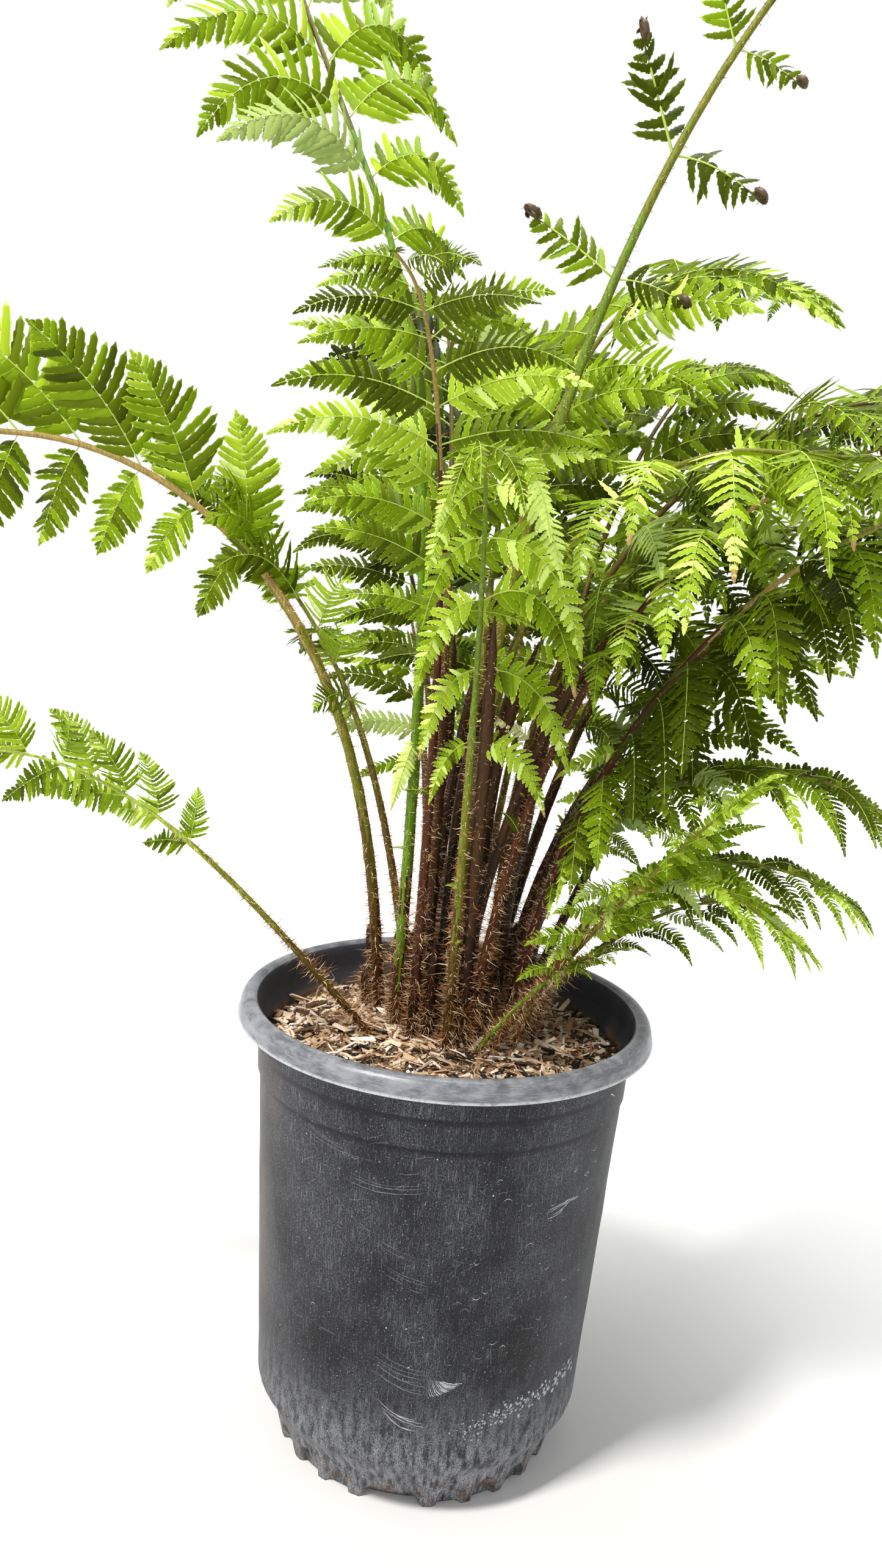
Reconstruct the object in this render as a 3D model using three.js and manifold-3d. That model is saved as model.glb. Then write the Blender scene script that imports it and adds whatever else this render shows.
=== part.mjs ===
// Young tree fern in a round nursery pot: the pot, its potting soil, the low crown stem under the
// foliage, and 28 arching fronds. Each frond is a bare stalk and a blade, and a blade is a rib with
// leaflets cut apart down to it.
// Millimetres, +Z up. The origin is the middle of the pot's flat underside, and the plant's front is -Y.

import * as THREE from 'three';
import { mergeVertices } from 'three/addons/utils/BufferGeometryUtils.js';
import Module from 'manifold-3d';

// Clearance between touching pieces, and the distance under which corners are one
const GAP = 0.3;
const WELD = 1e-3;

// Pot
const POT_HEIGHT = 318;
const RIM_RADIUS = 142;
const RIM_DEPTH = 13;
const RIM_INNER_RADIUS = 128.5;
const RIM_BEVEL = 3;
const RIM_BEVEL_HEIGHT = 4;
const NECK_RADIUS = 127;
const FOOT_RADIUS = 114.5;
const FOOT_HEIGHT = 42;
const BEVEL_RADIUS = 103.5;
const BEVEL_HEIGHT = 24;
const BASE_RADIUS = 98;
const WALL = 2.5;
const STEP_DEPTHS = [17, 38];
const STEP_SIZE = 1.4;
const LEDGE_DEPTH = 24;
const LEDGE_SIZE = 3;
const POT_SIDES = 96;

// Scalloped foot: each quarter has narrow scallops and then one wide flat notch with a drain opening
const QUARTERS = 4;
const QUARTER_ANGLE = 90;
const SCALLOP_ANGLE = 15;
const SCALLOPED_ANGLE = 60;
const SCALLOP_SIZE = 4;
const NOTCH_SIZE = 5;
const NOTCH_STEEPNESS = 4;
const DRAIN_WIDTH = 34;
const DRAIN_HEIGHT = 9;
const FOOT_TURN = 9.5;

// Soil and crown stem
const SOIL_LEVEL = 284;
const SOIL_CLEARANCE = 1;
const SOIL_MOUND = 6;
const MOUND_TOP_WIDTH = 10;
const MOUND_FOOT_WIDTH = 40;
const SOIL_SIDES = 48;
const CROWN_RADIUS = 62;
const CROWN_HEIGHT = 12;
const CROWN_SHOULDER = 5;
const CROWN_SIDES = 36;

// Fronds
const SPINE_STEPS = 64;
const STALK_SIDES = 6;
const STALK_STEPS = 7;
const TAPER = 0.8;
const TAPER_POWER = 1.1;
const RIB_DEPTH_SHARE = 0.8;
const RIB_LEAST = 1.1;
const CURL_SHARE = 0.9;
const CURL_POWER = 1.5;
const CURL_STEPS = 12;

// Leaflets
const CROWDING = 1.25;
const WIDEST_AT = 0.3;
const SHORTEST_SHARE = 0.6;
const NARROWING = 1.8;
const TIP_SHARE = 0.1;
const LENGTH_JITTER = 0.16;
const SPREAD_ROOT = 78;
const SPREAD_TIP = 52;
const SPREAD_JITTER = 12;
const RISE = 0.14;
const ROOT_HALF = 3.2;
const BELLY_AT = 0.36;
const BELLY_SHARE = 0.17;
const BELLY_LIMIT = 0.4;
const LEAF_HALF_THICKNESS = 1.2;
const LEAF_CLEARANCE = 0.5;
const SHORTENED = [1, 0.8, 0.6, 0.45];

// Variation between leaflets
const NOISE_WEIGHTS = [12.9898, 78.233, 37.719];
const NOISE_SCALE = 43758.5453;
const SPREAD_SEED = 5;

// One row for each frond: where its foot stands (x, y), the compass direction it arches to, its lean
// from upright at the foot, its further bend, how late it bends, the share of its length where the
// bend is done, its length, the share that is bare stalk, its longest leaflet, its pairs of leaflets,
// the roll of its blade, the hang of its leaflets, the curl of an unopened tip, its radius at the foot.
const COLUMNS = ['x', 'y', 'toward', 'lean', 'bend', 'arch', 'settled', 'length', 'bare', 'reach', 'pairs',
  'roll', 'hang', 'curl', 'foot'];
const FRONDS = {
  low_left: [-50, -22, 182, 44, 60, 3, 0.8, 430, 0.45, 58, 8, 30, 0.15, 0, 2.7],
  left_arch: [-48, 30, 185, 6, 84, 1.9, 0.6, 840, 0.38, 125, 12, 75, 0.15, 0, 4.2],
  left_back: [-24, 14, 164, 11, 43, 2.2, 0.79, 456, 0.52, 84, 8, 20, 0.3, 0, 3.5],
  top_left: [-34, -8, 140, 0, 32, 3.2, 0.58, 960, 0.52, 124, 12, -15, 0.35, 0, 4.2],
  central: [-22, -24, 262, 0, 88, 2.8, 0.95, 570, 0.48, 92, 10, 0, 0.2, 0, 3.8],
  unfurling: [-10, 6, 20, 4, 41, 1.9, 1, 850, 0.55, 95, 4, 65, 0.1, 330, 4.6],
  right_upper: [10, 30, 42, 0, 90, 3.3, 0.85, 740, 0.5, 120, 11, 0, 0.35, 0, 4.2],
  right_light: [4, -14, 338, 0, 92, 2.9, 0.68, 700, 0.46, 118, 11, 0, 0.6, 0, 4.2],
  right_fan: [14, -32, 350, 7, 95, 2, 1, 590, 0.44, 110, 11, 0, 0.6, 0, 3.5],
  right_brown: [26, -8, 355, 1, 96, 2.2, 0.85, 670, 0.4, 115, 12, 0, 0.5, 0, 4.2],
  right_olive: [30, 14, 8, 0, 80, 2.8, 0.56, 720, 0.38, 112, 12, 0, 0.4, 0, 4.2],
  right_hairy: [26, 34, 32, 12, 75, 1.6, 1, 700, 0.38, 108, 12, 0, 0.6, 0, 4.2],
  right_mid: [40, 28, 5, 6, 67, 1.2, 0.8, 600, 0.34, 102, 12, 0, 0.8, 0, 3.8],
  right_deep: [38, -14, 352, 10, 92, 1.7, 1, 600, 0.36, 105, 11, 0, 0.8, 0, 3.8],
  right_low: [44, 8, 340, 6, 130, 1.6, 1, 380, 0.4, 78, 10, 0, 0.4, 0, 3.8],
  low_near: [48, -18, 330, 18, 100, 2, 0.85, 270, 0.4, 60, 8, 0, 0.3, 0, 3.1],
  low_far: [54, -4, 342, 12, 117, 1.4, 1, 295, 0.42, 70, 8, 0, 0.3, 0, 3.1],
  pale_near: [30, -28, 328, 34, 12, 1.8, 1, 270, 0.5, 62, 8, 0, 0.25, 0, 3.1],
  thin_far: [54, 14, 20, 35, 74, 1.2, 1, 240, 0.45, 50, 7, 0, 0.3, 0, 2.7],
  front_mid: [2, -40, 267, 0, 90, 3.1, 0.89, 500, 0.46, 98, 6, 0, 1.1, 0, 3.5],
  little_front: [20, -46, 345, 32, 40, 2, 1, 130, 0.6, 26, 5, 0, 0.3, 0, 1.9],
  back_right: [34, 46, 60, 10, 85, 2, 1, 700, 0.38, 115, 12, 0, 0.35, 0, 3.8],
  back_mid: [0, 50, 85, 8, 88, 2, 1, 720, 0.42, 120, 12, 0, 0.35, 0, 3.8],
  back_left: [-16, 36, 98, 6, 80, 2, 1, 700, 0.45, 120, 11, 0, 0.3, 0, 3.8],
  back_dark: [-8, 44, 112, 12, 85, 2, 1, 540, 0.46, 85, 9, 0, 0.3, 0, 3.5],
  back_low_right: [50, 26, 45, 30, 70, 1.8, 1, 560, 0.36, 95, 10, 0, 0.35, 0, 3.5],
  back_low_mid: [12, 54, 75, 22, 68, 1.8, 1, 520, 0.46, 90, 9, 0, 0.35, 0, 3.5],
  back_low_left: [-14, 54, 100, 32, 70, 1.8, 1, 520, 0.46, 90, 9, 0, 0.35, 0, 3.5],
};

// Finishes
const FINISHES = {
  pot: { color: 0x26282b, roughness: 0.55, metalness: 0 },
  soil: { color: 0x7a5c40, roughness: 0.95, metalness: 0 },
  crown: { color: 0x4a2c1c, roughness: 0.9, metalness: 0 },
  stalk: { color: 0x5d5a26, roughness: 0.7, metalness: 0 },
  blade: { color: 0x5c9a22, roughness: 0.6, metalness: 0 },
};

const wasm = await Module();
wasm.setup();

const radians = THREE.MathUtils.degToRad;

// A repeatable number from 0 to 1 for three whole numbers
function noise(a, b, c) {
  const phase = a * NOISE_WEIGHTS[0] + b * NOISE_WEIGHTS[1] + c * NOISE_WEIGHTS[2];
  const wave = Math.sin(phase) * NOISE_SCALE;
  return wave - Math.floor(wave);
}

function closedMesh(positions, triangles) {
  const geometry = new THREE.BufferGeometry();
  geometry.setAttribute('position', new THREE.Float32BufferAttribute(positions.flat(), 3));
  geometry.setIndex(triangles.flat());
  return geometry;
}

function bareMesh(geometry) {
  geometry.deleteAttribute('normal');
  geometry.deleteAttribute('uv');
  return mergeVertices(geometry, WELD);
}

function toSolid(geometry) {
  const bare = bareMesh(geometry.clone());
  const vertProperties = new Float32Array(bare.getAttribute('position').array);
  const triVerts = new Uint32Array(bare.getIndex().array);
  return new wasm.Manifold(new wasm.Mesh({ numProp: 3, vertProperties, triVerts }));
}

function fromSolid(solid) {
  const mesh = solid.getMesh();
  const geometry = new THREE.BufferGeometry();
  geometry.setAttribute('position', new THREE.Float32BufferAttribute(Array.from(mesh.vertProperties), 3));
  geometry.setIndex(Array.from(mesh.triVerts));
  return geometry;
}

function turned(profile, sides) {
  const points = profile.map(([radius, height]) => new THREE.Vector2(radius, height));
  const geometry = new THREE.LatheGeometry(points, sides);
  return bareMesh(geometry.rotateX(Math.PI / 2));
}

// Depth that the scalloped foot is pressed in at a compass angle
function footWave(degrees) {
  const inQuarter = THREE.MathUtils.euclideanModulo(degrees - FOOT_TURN, QUARTER_ANGLE);
  if (inQuarter < SCALLOPED_ANGLE) {
    return SCALLOP_SIZE * Math.sin((Math.PI * (inQuarter % SCALLOP_ANGLE)) / SCALLOP_ANGLE);
  }
  const inNotch = (inQuarter - SCALLOPED_ANGLE) / (QUARTER_ANGLE - SCALLOPED_ANGLE);
  return NOTCH_SIZE * Math.min(1, NOTCH_STEEPNESS * Math.sin(Math.PI * inNotch));
}

// Outer radius of the tapering pot body, steps left out
function bodyRadius(height) {
  const share = (height - FOOT_HEIGHT) / (POT_HEIGHT - RIM_DEPTH - FOOT_HEIGHT);
  return THREE.MathUtils.lerp(FOOT_RADIUS, NECK_RADIUS, share);
}

function potProfile() {
  const under = POT_HEIGHT - RIM_DEPTH;
  const upperStep = under - STEP_DEPTHS[0];
  const lowerStep = under - STEP_DEPTHS[1];
  const ledge = POT_HEIGHT - LEDGE_DEPTH;
  return [
    [0, 0],
    [BASE_RADIUS, 0],
    [BEVEL_RADIUS, BEVEL_HEIGHT],
    [FOOT_RADIUS, FOOT_HEIGHT],
    [bodyRadius(lowerStep - STEP_SIZE), lowerStep - STEP_SIZE],
    [bodyRadius(lowerStep) + STEP_SIZE, lowerStep],
    [bodyRadius(upperStep - STEP_SIZE) + STEP_SIZE, upperStep - STEP_SIZE],
    [bodyRadius(upperStep) + 2 * STEP_SIZE, upperStep],
    [NECK_RADIUS + 2 * STEP_SIZE, under],
    [RIM_RADIUS - RIM_BEVEL, under],
    [RIM_RADIUS, under + RIM_BEVEL_HEIGHT],
    [RIM_RADIUS, POT_HEIGHT - RIM_BEVEL_HEIGHT],
    [RIM_RADIUS - RIM_BEVEL, POT_HEIGHT],
    [RIM_INNER_RADIUS + RIM_BEVEL, POT_HEIGHT],
    [RIM_INNER_RADIUS, POT_HEIGHT - RIM_BEVEL_HEIGHT],
    [RIM_INNER_RADIUS - STEP_SIZE, ledge],
    [bodyRadius(ledge) - WALL + STEP_SIZE - LEDGE_SIZE / 2, ledge - LEDGE_SIZE],
    [FOOT_RADIUS - WALL, FOOT_HEIGHT],
    [BEVEL_RADIUS - WALL, BEVEL_HEIGHT],
    [BASE_RADIUS - WALL, WALL],
    [0, WALL],
  ];
}

function scallopFoot(geometry) {
  const position = geometry.getAttribute('position');
  for (let i = 0; i < position.count; i += 1) {
    const x = position.getX(i);
    const y = position.getY(i);
    const radius = Math.hypot(x, y);
    const share = Math.max(0, 1 - position.getZ(i) / FOOT_HEIGHT);
    if (radius > BASE_RADIUS / 2 && share > 0) {
      const wave = footWave(THREE.MathUtils.radToDeg(Math.atan2(y, x)));
      const scale = (radius - wave * share) / radius;
      position.setXY(i, x * scale, y * scale);
    }
  }
  return geometry;
}

function potGeometry() {
  let pot = toSolid(scallopFoot(turned(potProfile(), POT_SIDES)));
  for (let quarter = 0; quarter < QUARTERS; quarter += 1) {
    const angle = radians(FOOT_TURN + quarter * QUARTER_ANGLE + (QUARTER_ANGLE + SCALLOPED_ANGLE) / 2);
    const drain = new THREE.BoxGeometry(4 * WALL + 2 * NOTCH_SIZE, DRAIN_WIDTH, DRAIN_HEIGHT);
    drain.translate(BASE_RADIUS, 0, WALL + DRAIN_HEIGHT / 2 + GAP);
    drain.rotateZ(angle);
    pot = pot.subtract(toSolid(drain));
  }
  return fromSolid(pot);
}

function soilGeometry() {
  const inside = WALL + SOIL_CLEARANCE;
  return turned([
    [0, WALL + GAP],
    [BASE_RADIUS - inside - NOTCH_SIZE, WALL + GAP],
    [BEVEL_RADIUS - inside - NOTCH_SIZE / 2, BEVEL_HEIGHT],
    [FOOT_RADIUS - inside, FOOT_HEIGHT + SOIL_CLEARANCE],
    [bodyRadius(SOIL_LEVEL) - inside, SOIL_LEVEL],
    [CROWN_RADIUS + MOUND_FOOT_WIDTH, SOIL_LEVEL + SOIL_MOUND / 3],
    [CROWN_RADIUS + MOUND_TOP_WIDTH, SOIL_LEVEL + SOIL_MOUND],
    [CROWN_RADIUS + GAP, SOIL_LEVEL + SOIL_MOUND],
    [CROWN_RADIUS + GAP, SOIL_LEVEL - GAP],
    [0, SOIL_LEVEL - GAP],
  ], SOIL_SIDES);
}

function crownGeometry() {
  const top = SOIL_LEVEL + CROWN_HEIGHT;
  return turned([
    [0, SOIL_LEVEL],
    [CROWN_RADIUS, SOIL_LEVEL],
    [CROWN_RADIUS, top - CROWN_SHOULDER],
    [CROWN_RADIUS - CROWN_SHOULDER, top],
    [0, top],
  ], CROWN_SIDES);
}

function frondRule(row, index) {
  const rule = { index, points: [] };
  COLUMNS.forEach((column, i) => {
    rule[column] = row[i];
  });
  rule.points.push(new THREE.Vector3(rule.x, rule.y, SOIL_LEVEL + CROWN_HEIGHT + GAP));
  for (let i = 0; i < SPINE_STEPS; i += 1) {
    const step = heading(rule, (i + 0.5) / SPINE_STEPS).multiplyScalar(rule.length / SPINE_STEPS);
    rule.points.push(rule.points[i].clone().add(step));
  }
  return rule;
}

// Direction of a frond's spine at a share of its length
function heading(rule, share) {
  const bent = rule.bend * Math.min(1, share / rule.settled) ** rule.arch;
  const curled = rule.curl * Math.max(0, (share - CURL_SHARE) / (1 - CURL_SHARE)) ** CURL_POWER;
  const tilt = radians(rule.lean + bent + curled);
  const compass = radians(rule.toward);
  return new THREE.Vector3(
    Math.sin(tilt) * Math.cos(compass),
    Math.sin(tilt) * Math.sin(compass),
    Math.cos(tilt),
  );
}

// Place on a frond's spine: its centre, the way it runs, and the blade's side and upper face
function along(rule, share) {
  const place = Math.min(share, 1) * SPINE_STEPS;
  const whole = Math.min(Math.floor(place), SPINE_STEPS - 1);
  const centre = rule.points[whole].clone().lerp(rule.points[whole + 1], place - whole);
  const forward = heading(rule, share);
  const compass = radians(rule.toward);
  const side = new THREE.Vector3(-Math.sin(compass), Math.cos(compass), 0);
  const upper = forward.clone().cross(side);
  side.applyAxisAngle(forward, radians(rule.roll));
  upper.applyAxisAngle(forward, radians(rule.roll));
  return { centre, forward, side, upper };
}

function stalkRadius(rule, share) {
  return rule.foot * (1 - TAPER * share ** TAPER_POWER);
}

// Bare stalk: a cylinder bent along the spine, with a level foot
function stalkGeometry(rule) {
  const geometry = new THREE.CylinderGeometry(1, 1, 1, STALK_SIDES, STALK_STEPS);
  const position = geometry.getAttribute('position');
  for (let i = 0; i < position.count; i += 1) {
    const share = (0.5 + position.getY(i)) * rule.bare;
    const at = along(rule, share);
    const radius = stalkRadius(rule, share);
    const point = at.centre;
    if (share === 0) {
      point.x += radius * position.getX(i);
      point.y -= radius * position.getZ(i);
    } else {
      const flatSide = new THREE.Vector3(1, 0, 0).addScaledVector(at.forward, -at.forward.x).normalize();
      const flatFront = at.forward.clone().cross(flatSide);
      point.addScaledVector(flatSide, radius * position.getX(i));
      point.addScaledVector(flatFront, -radius * position.getZ(i));
    }
    position.setXYZ(i, point.x, point.y, point.z);
  }
  return bareMesh(geometry);
}

// Four corners of the rib at a share of the frond's length
function ribCorners(rule, share) {
  const at = along(rule, share);
  const half = Math.max(RIB_LEAST, stalkRadius(rule, share));
  const depth = half * RIB_DEPTH_SHARE;
  const corner = (right, up) => at.centre.clone()
    .addScaledVector(at.side, right * half)
    .addScaledVector(at.upper, up * depth);
  return [corner(-1, 1), corner(1, 1), corner(1, -1), corner(-1, -1)];
}

function leafletShape(u) {
  const widening = Math.sin((Math.PI / 2) * Math.min(1, u / WIDEST_AT));
  const opening = SHORTEST_SHARE + (1 - SHORTEST_SHARE) * widening;
  const closing = 1 - (1 - TIP_SHARE) * (Math.max(0, u - WIDEST_AT) / (1 - WIDEST_AT)) ** NARROWING;
  return opening * closing;
}

// Length of a frond that bears leaflets, as a share: a curled tip has none
function leafyShare(rule) {
  return (rule.curl > 0 ? CURL_SHARE : 1) - rule.bare;
}

function pairShare(rule, pair) {
  const u = (pair + 0.5) / rule.pairs;
  return rule.bare + leafyShare(rule) * (1 - (1 - u) ** CROWDING);
}

// Belly and tip of one leaflet, grown by a margin when it is tested against its neighbours
function leafletPoints(rule, pair, hand, shortened, margin) {
  const u = (pair + 0.5) / rule.pairs;
  const share = pairShare(rule, pair);
  const at = along(rule, share);
  const varied = 1 + LENGTH_JITTER * (noise(rule.index, pair, hand) - 0.5);
  const length = rule.reach * leafletShape(u) * varied * shortened;
  const jitter = SPREAD_JITTER * (noise(rule.index, pair, hand + SPREAD_SEED) - 0.5);
  const spread = radians(SPREAD_ROOT + (SPREAD_TIP - SPREAD_ROOT) * u + jitter);
  const out = at.forward.clone().multiplyScalar(Math.cos(spread))
    .addScaledVector(at.side, hand * Math.sin(spread))
    .addScaledVector(at.upper, RISE)
    .normalize();
  const root = at.centre.clone().addScaledVector(at.side, hand * stalkRadius(rule, share));
  const point = (v) => root.clone()
    .addScaledVector(out, v * length)
    .add(new THREE.Vector3(0, 0, -rule.hang * v * v * length));
  const tangent = out.clone().add(new THREE.Vector3(0, 0, -2 * rule.hang * BELLY_AT)).normalize();
  const across = tangent.clone().cross(at.upper).normalize().multiplyScalar(hand);
  const upper = across.clone().cross(tangent).multiplyScalar(hand);
  const spacing = (rule.length * leafyShare(rule) * CROWDING * (1 - u) ** (CROWDING - 1)) / rule.pairs;
  const halfWidth = Math.min(BELLY_SHARE * length, BELLY_LIMIT * spacing * Math.sin(spread));
  const belly = point(BELLY_AT);
  return {
    top: belly.clone().addScaledVector(upper, LEAF_HALF_THICKNESS + margin),
    bottom: belly.clone().addScaledVector(upper, -LEAF_HALF_THICKNESS - margin),
    end: belly.clone().addScaledVector(across, halfWidth + margin),
    start: belly.clone().addScaledVector(across, -halfWidth - margin),
    tip: point(1).addScaledVector(tangent, margin),
  };
}

// Faces of a leaflet that grows from a four-cornered window in the rib
function leafletFaces(window, first, end, second, start, tip) {
  const [a, b, c, d] = window;
  return [
    [a, b, first], [b, end, first], [b, c, end], [c, second, end],
    [c, d, second], [d, start, second], [d, a, start], [a, first, start],
    [first, end, tip], [end, second, tip], [second, start, tip], [start, first, tip],
  ];
}

// Window that a leaflet leaves the rib by, in the order that its faces need
function ribWindow(before, after, hand) {
  return hand > 0
    ? [before[1], after[1], after[2], before[2]]
    : [before[3], after[3], after[0], before[0]];
}

function leafletTestSolid(rule, pair, hand, shortened) {
  const share = pairShare(rule, pair);
  const half = ROOT_HALF / rule.length;
  const window = ribWindow(ribCorners(rule, share - half), ribCorners(rule, share + half), hand);
  const leaf = leafletPoints(rule, pair, hand, shortened, LEAF_CLEARANCE);
  const points = [...window, leaf.top, leaf.end, leaf.bottom, leaf.start, leaf.tip];
  const [first, second] = hand > 0 ? [4, 6] : [6, 4];
  const faces = leafletFaces([0, 1, 2, 3], first, 5, second, 7, 8);
  faces.push([0, 2, 1], [0, 3, 2]);
  return toSolid(closedMesh(points.map((point) => point.toArray()), faces));
}

function boxesMeet(a, b) {
  return [0, 1, 2].every((axis) => a.min[axis] < b.max[axis] && b.min[axis] < a.max[axis]);
}

// Space taken by stalks, ribs and leaflets that are already placed
const taken = [];

function isFree(solid, ownRib) {
  const box = solid.boundingBox();
  return taken.every((other) => other.solid === ownRib
    || !boxesMeet(box, other.box)
    || solid.intersect(other.solid).isEmpty());
}

function take(solid) {
  taken.push({ solid, box: solid.boundingBox() });
}

// Shares of a frond's length where the rib has a section: both sides of each leaflet's root
function ribShares(rule) {
  const half = ROOT_HALF / rule.length;
  const shares = [rule.bare + GAP / rule.length];
  for (let pair = 0; pair < rule.pairs; pair += 1) {
    shares.push(pairShare(rule, pair) - half, pairShare(rule, pair) + half);
  }
  if (rule.curl > 0) {
    const last = shares[shares.length - 1];
    for (let i = 1; i < CURL_STEPS; i += 1) {
      shares.push(last + ((1 - last) * i) / CURL_STEPS);
    }
  }
  shares.push(1);
  return shares;
}

function ribGeometry(rule, leaves) {
  const positions = [];
  const triangles = [];
  const quad = (a, b, c, d) => triangles.push([a, b, c], [a, c, d]);
  const add = (point) => positions.push(point.toArray()) - 1;
  const rings = ribShares(rule).map((share) => ribCorners(rule, share).map(add));
  quad(...rings[0]);
  for (let i = 0; i + 1 < rings.length; i += 1) {
    const before = rings[i];
    const after = rings[i + 1];
    const pair = i % 2 === 1 ? (i - 1) / 2 : -1;
    for (let side = 0; side < 4; side += 1) {
      const next = (side + 1) % 4;
      const hand = side === 1 ? 1 : -1;
      const leaf = side % 2 === 1 && leaves.find((item) => item.pair === pair && item.hand === hand);
      if (leaf) {
        const [top, end, bottom, start, tip] = ['top', 'end', 'bottom', 'start', 'tip']
          .map((name) => add(leaf.points[name]));
        const [first, second] = hand > 0 ? [top, bottom] : [bottom, top];
        triangles.push(...leafletFaces(ribWindow(before, after, hand), first, end, second, start, tip));
      } else {
        quad(before[side], after[side], after[next], before[next]);
      }
    }
  }
  quad(...rings[rings.length - 1].slice().reverse());
  return closedMesh(positions, triangles);
}

// Leaflets that find free space, shortened first and then left out
function placeLeaflets(rule, ownRib) {
  const leaves = [];
  for (let pair = 0; pair < rule.pairs; pair += 1) {
    for (const hand of [1, -1]) {
      for (const shortened of SHORTENED) {
        const solid = leafletTestSolid(rule, pair, hand, shortened);
        if (isFree(solid, ownRib)) {
          take(solid);
          leaves.push({ pair, hand, points: leafletPoints(rule, pair, hand, shortened, 0) });
          break;
        }
      }
    }
  }
  return leaves;
}

function named(name, geometry, finish) {
  const mesh = new THREE.Mesh(geometry, new THREE.MeshStandardMaterial(FINISHES[finish]));
  mesh.name = name;
  return mesh;
}

const fern = new THREE.Group();
fern.add(named('pot', potGeometry(), 'pot'));
fern.add(named('soil', soilGeometry(), 'soil'));
fern.add(named('crown_stem', crownGeometry(), 'crown'));

const rules = Object.values(FRONDS).map(frondRule);
const names = Object.keys(FRONDS);
const ribs = rules.map((rule) => toSolid(ribGeometry(rule, [])));

rules.forEach((rule, i) => {
  const stalk = stalkGeometry(rule);
  take(toSolid(stalk));
  take(ribs[i]);
  fern.add(named(`${names[i]}_stalk`, stalk, 'stalk'));
});

rules.forEach((rule, i) => {
  const blade = ribGeometry(rule, placeLeaflets(rule, ribs[i]));
  fern.add(named(`${names[i]}_blade`, blade, 'blade'));
});

export default fern;
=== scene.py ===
"""Looks of a potted young tree fern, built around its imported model.

The fronds follow the rule of the model's source, written again here, and carry it on to finer
leaflets. Lengths are in millimetres and angles in degrees until a mesh is made.
"""

import itertools
import math

import bpy
import numpy as np
from mathutils import Matrix, Vector


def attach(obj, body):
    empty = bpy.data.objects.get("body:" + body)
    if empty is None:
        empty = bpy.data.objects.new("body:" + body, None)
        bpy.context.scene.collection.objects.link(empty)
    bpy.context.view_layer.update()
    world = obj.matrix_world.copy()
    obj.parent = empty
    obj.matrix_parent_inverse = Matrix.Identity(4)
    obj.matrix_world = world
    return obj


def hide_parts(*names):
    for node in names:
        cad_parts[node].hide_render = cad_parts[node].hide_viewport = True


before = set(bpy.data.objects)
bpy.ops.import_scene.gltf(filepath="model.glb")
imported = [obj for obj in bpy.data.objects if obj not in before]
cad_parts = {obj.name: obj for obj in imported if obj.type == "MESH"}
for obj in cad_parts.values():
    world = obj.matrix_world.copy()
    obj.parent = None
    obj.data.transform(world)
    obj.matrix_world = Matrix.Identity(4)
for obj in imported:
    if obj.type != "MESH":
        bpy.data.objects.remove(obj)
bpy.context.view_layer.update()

MM = 0.001
SEED = 20
UP = np.array([0.0, 0.0, 1.0])
FRONT = np.array([0.0, -0.97, 0.22])
WAVE_OCTAVES = 3
WAVES_PER_OCTAVE = 5
WAVE_HEIGHT = 0.25

# Floor, and camera as fitted to the pot's outline: turned, pitched and rolled
FLOOR_REACH = 6000
PHOTO_PIXELS = (1445, 2569)
FOCAL_PIXELS = 2100
CAMERA_PLACE = (0, -0.841, 0.627)
CAMERA_ANGLES = (-1.1, 10.75, 4.66)

# Pot, as in the source
POT_HEIGHT = 318
RIM_RADIUS = 142
RIM_DEPTH = 13
UNDER_RIM = POT_HEIGHT - RIM_DEPTH
NECK_RADIUS = 127
FOOT_RADIUS = 114.5
FOOT_HEIGHT = 42
BASE_RADIUS = 98
WALL = 2.5
STEP_DEPTHS = (17, 38)
STEP_SIZE = 1.4
LEDGE_DEPTH = 24
LEDGE_SIZE = 3
QUARTER_ANGLE = 90
SCALLOP_ANGLE = 15
SCALLOPED_ANGLE = 60
DRAIN_HEIGHT = 9
FOOT_TURN = 9.5
FOOT_BEVEL_RADIUS = 103.5
FOOT_BEVEL_HEIGHT = 24
POT_SIDES = 300

# Soil and crown stem, as in the source
SOIL_LEVEL = 284
SOIL_MOUND = 6
CROWN_RADIUS = 62
CROWN_HEIGHT = 12
GAP = 0.3

# Fronds, as in the source
SPINE_STEPS = 64
TAPER = 0.8
TAPER_POWER = 1.1
YOUNG_TAPER = 0.6
RIB_LEAST = 0.6
CURL_SHARE = 0.9
CURL_POWER = 1.5
CROWDING = 1.25
WIDEST_AT = 0.3
SHORTEST_SHARE = 0.6
NARROWING = 1.8
TIP_SHARE = 0.1
LENGTH_JITTER = 0.16
SPREAD_ROOT = 78
SPREAD_TIP = 52
SPREAD_JITTER = 12
RISE = 0.14
SHORTENED = (1, 0.8, 0.6, 0.45)

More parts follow.
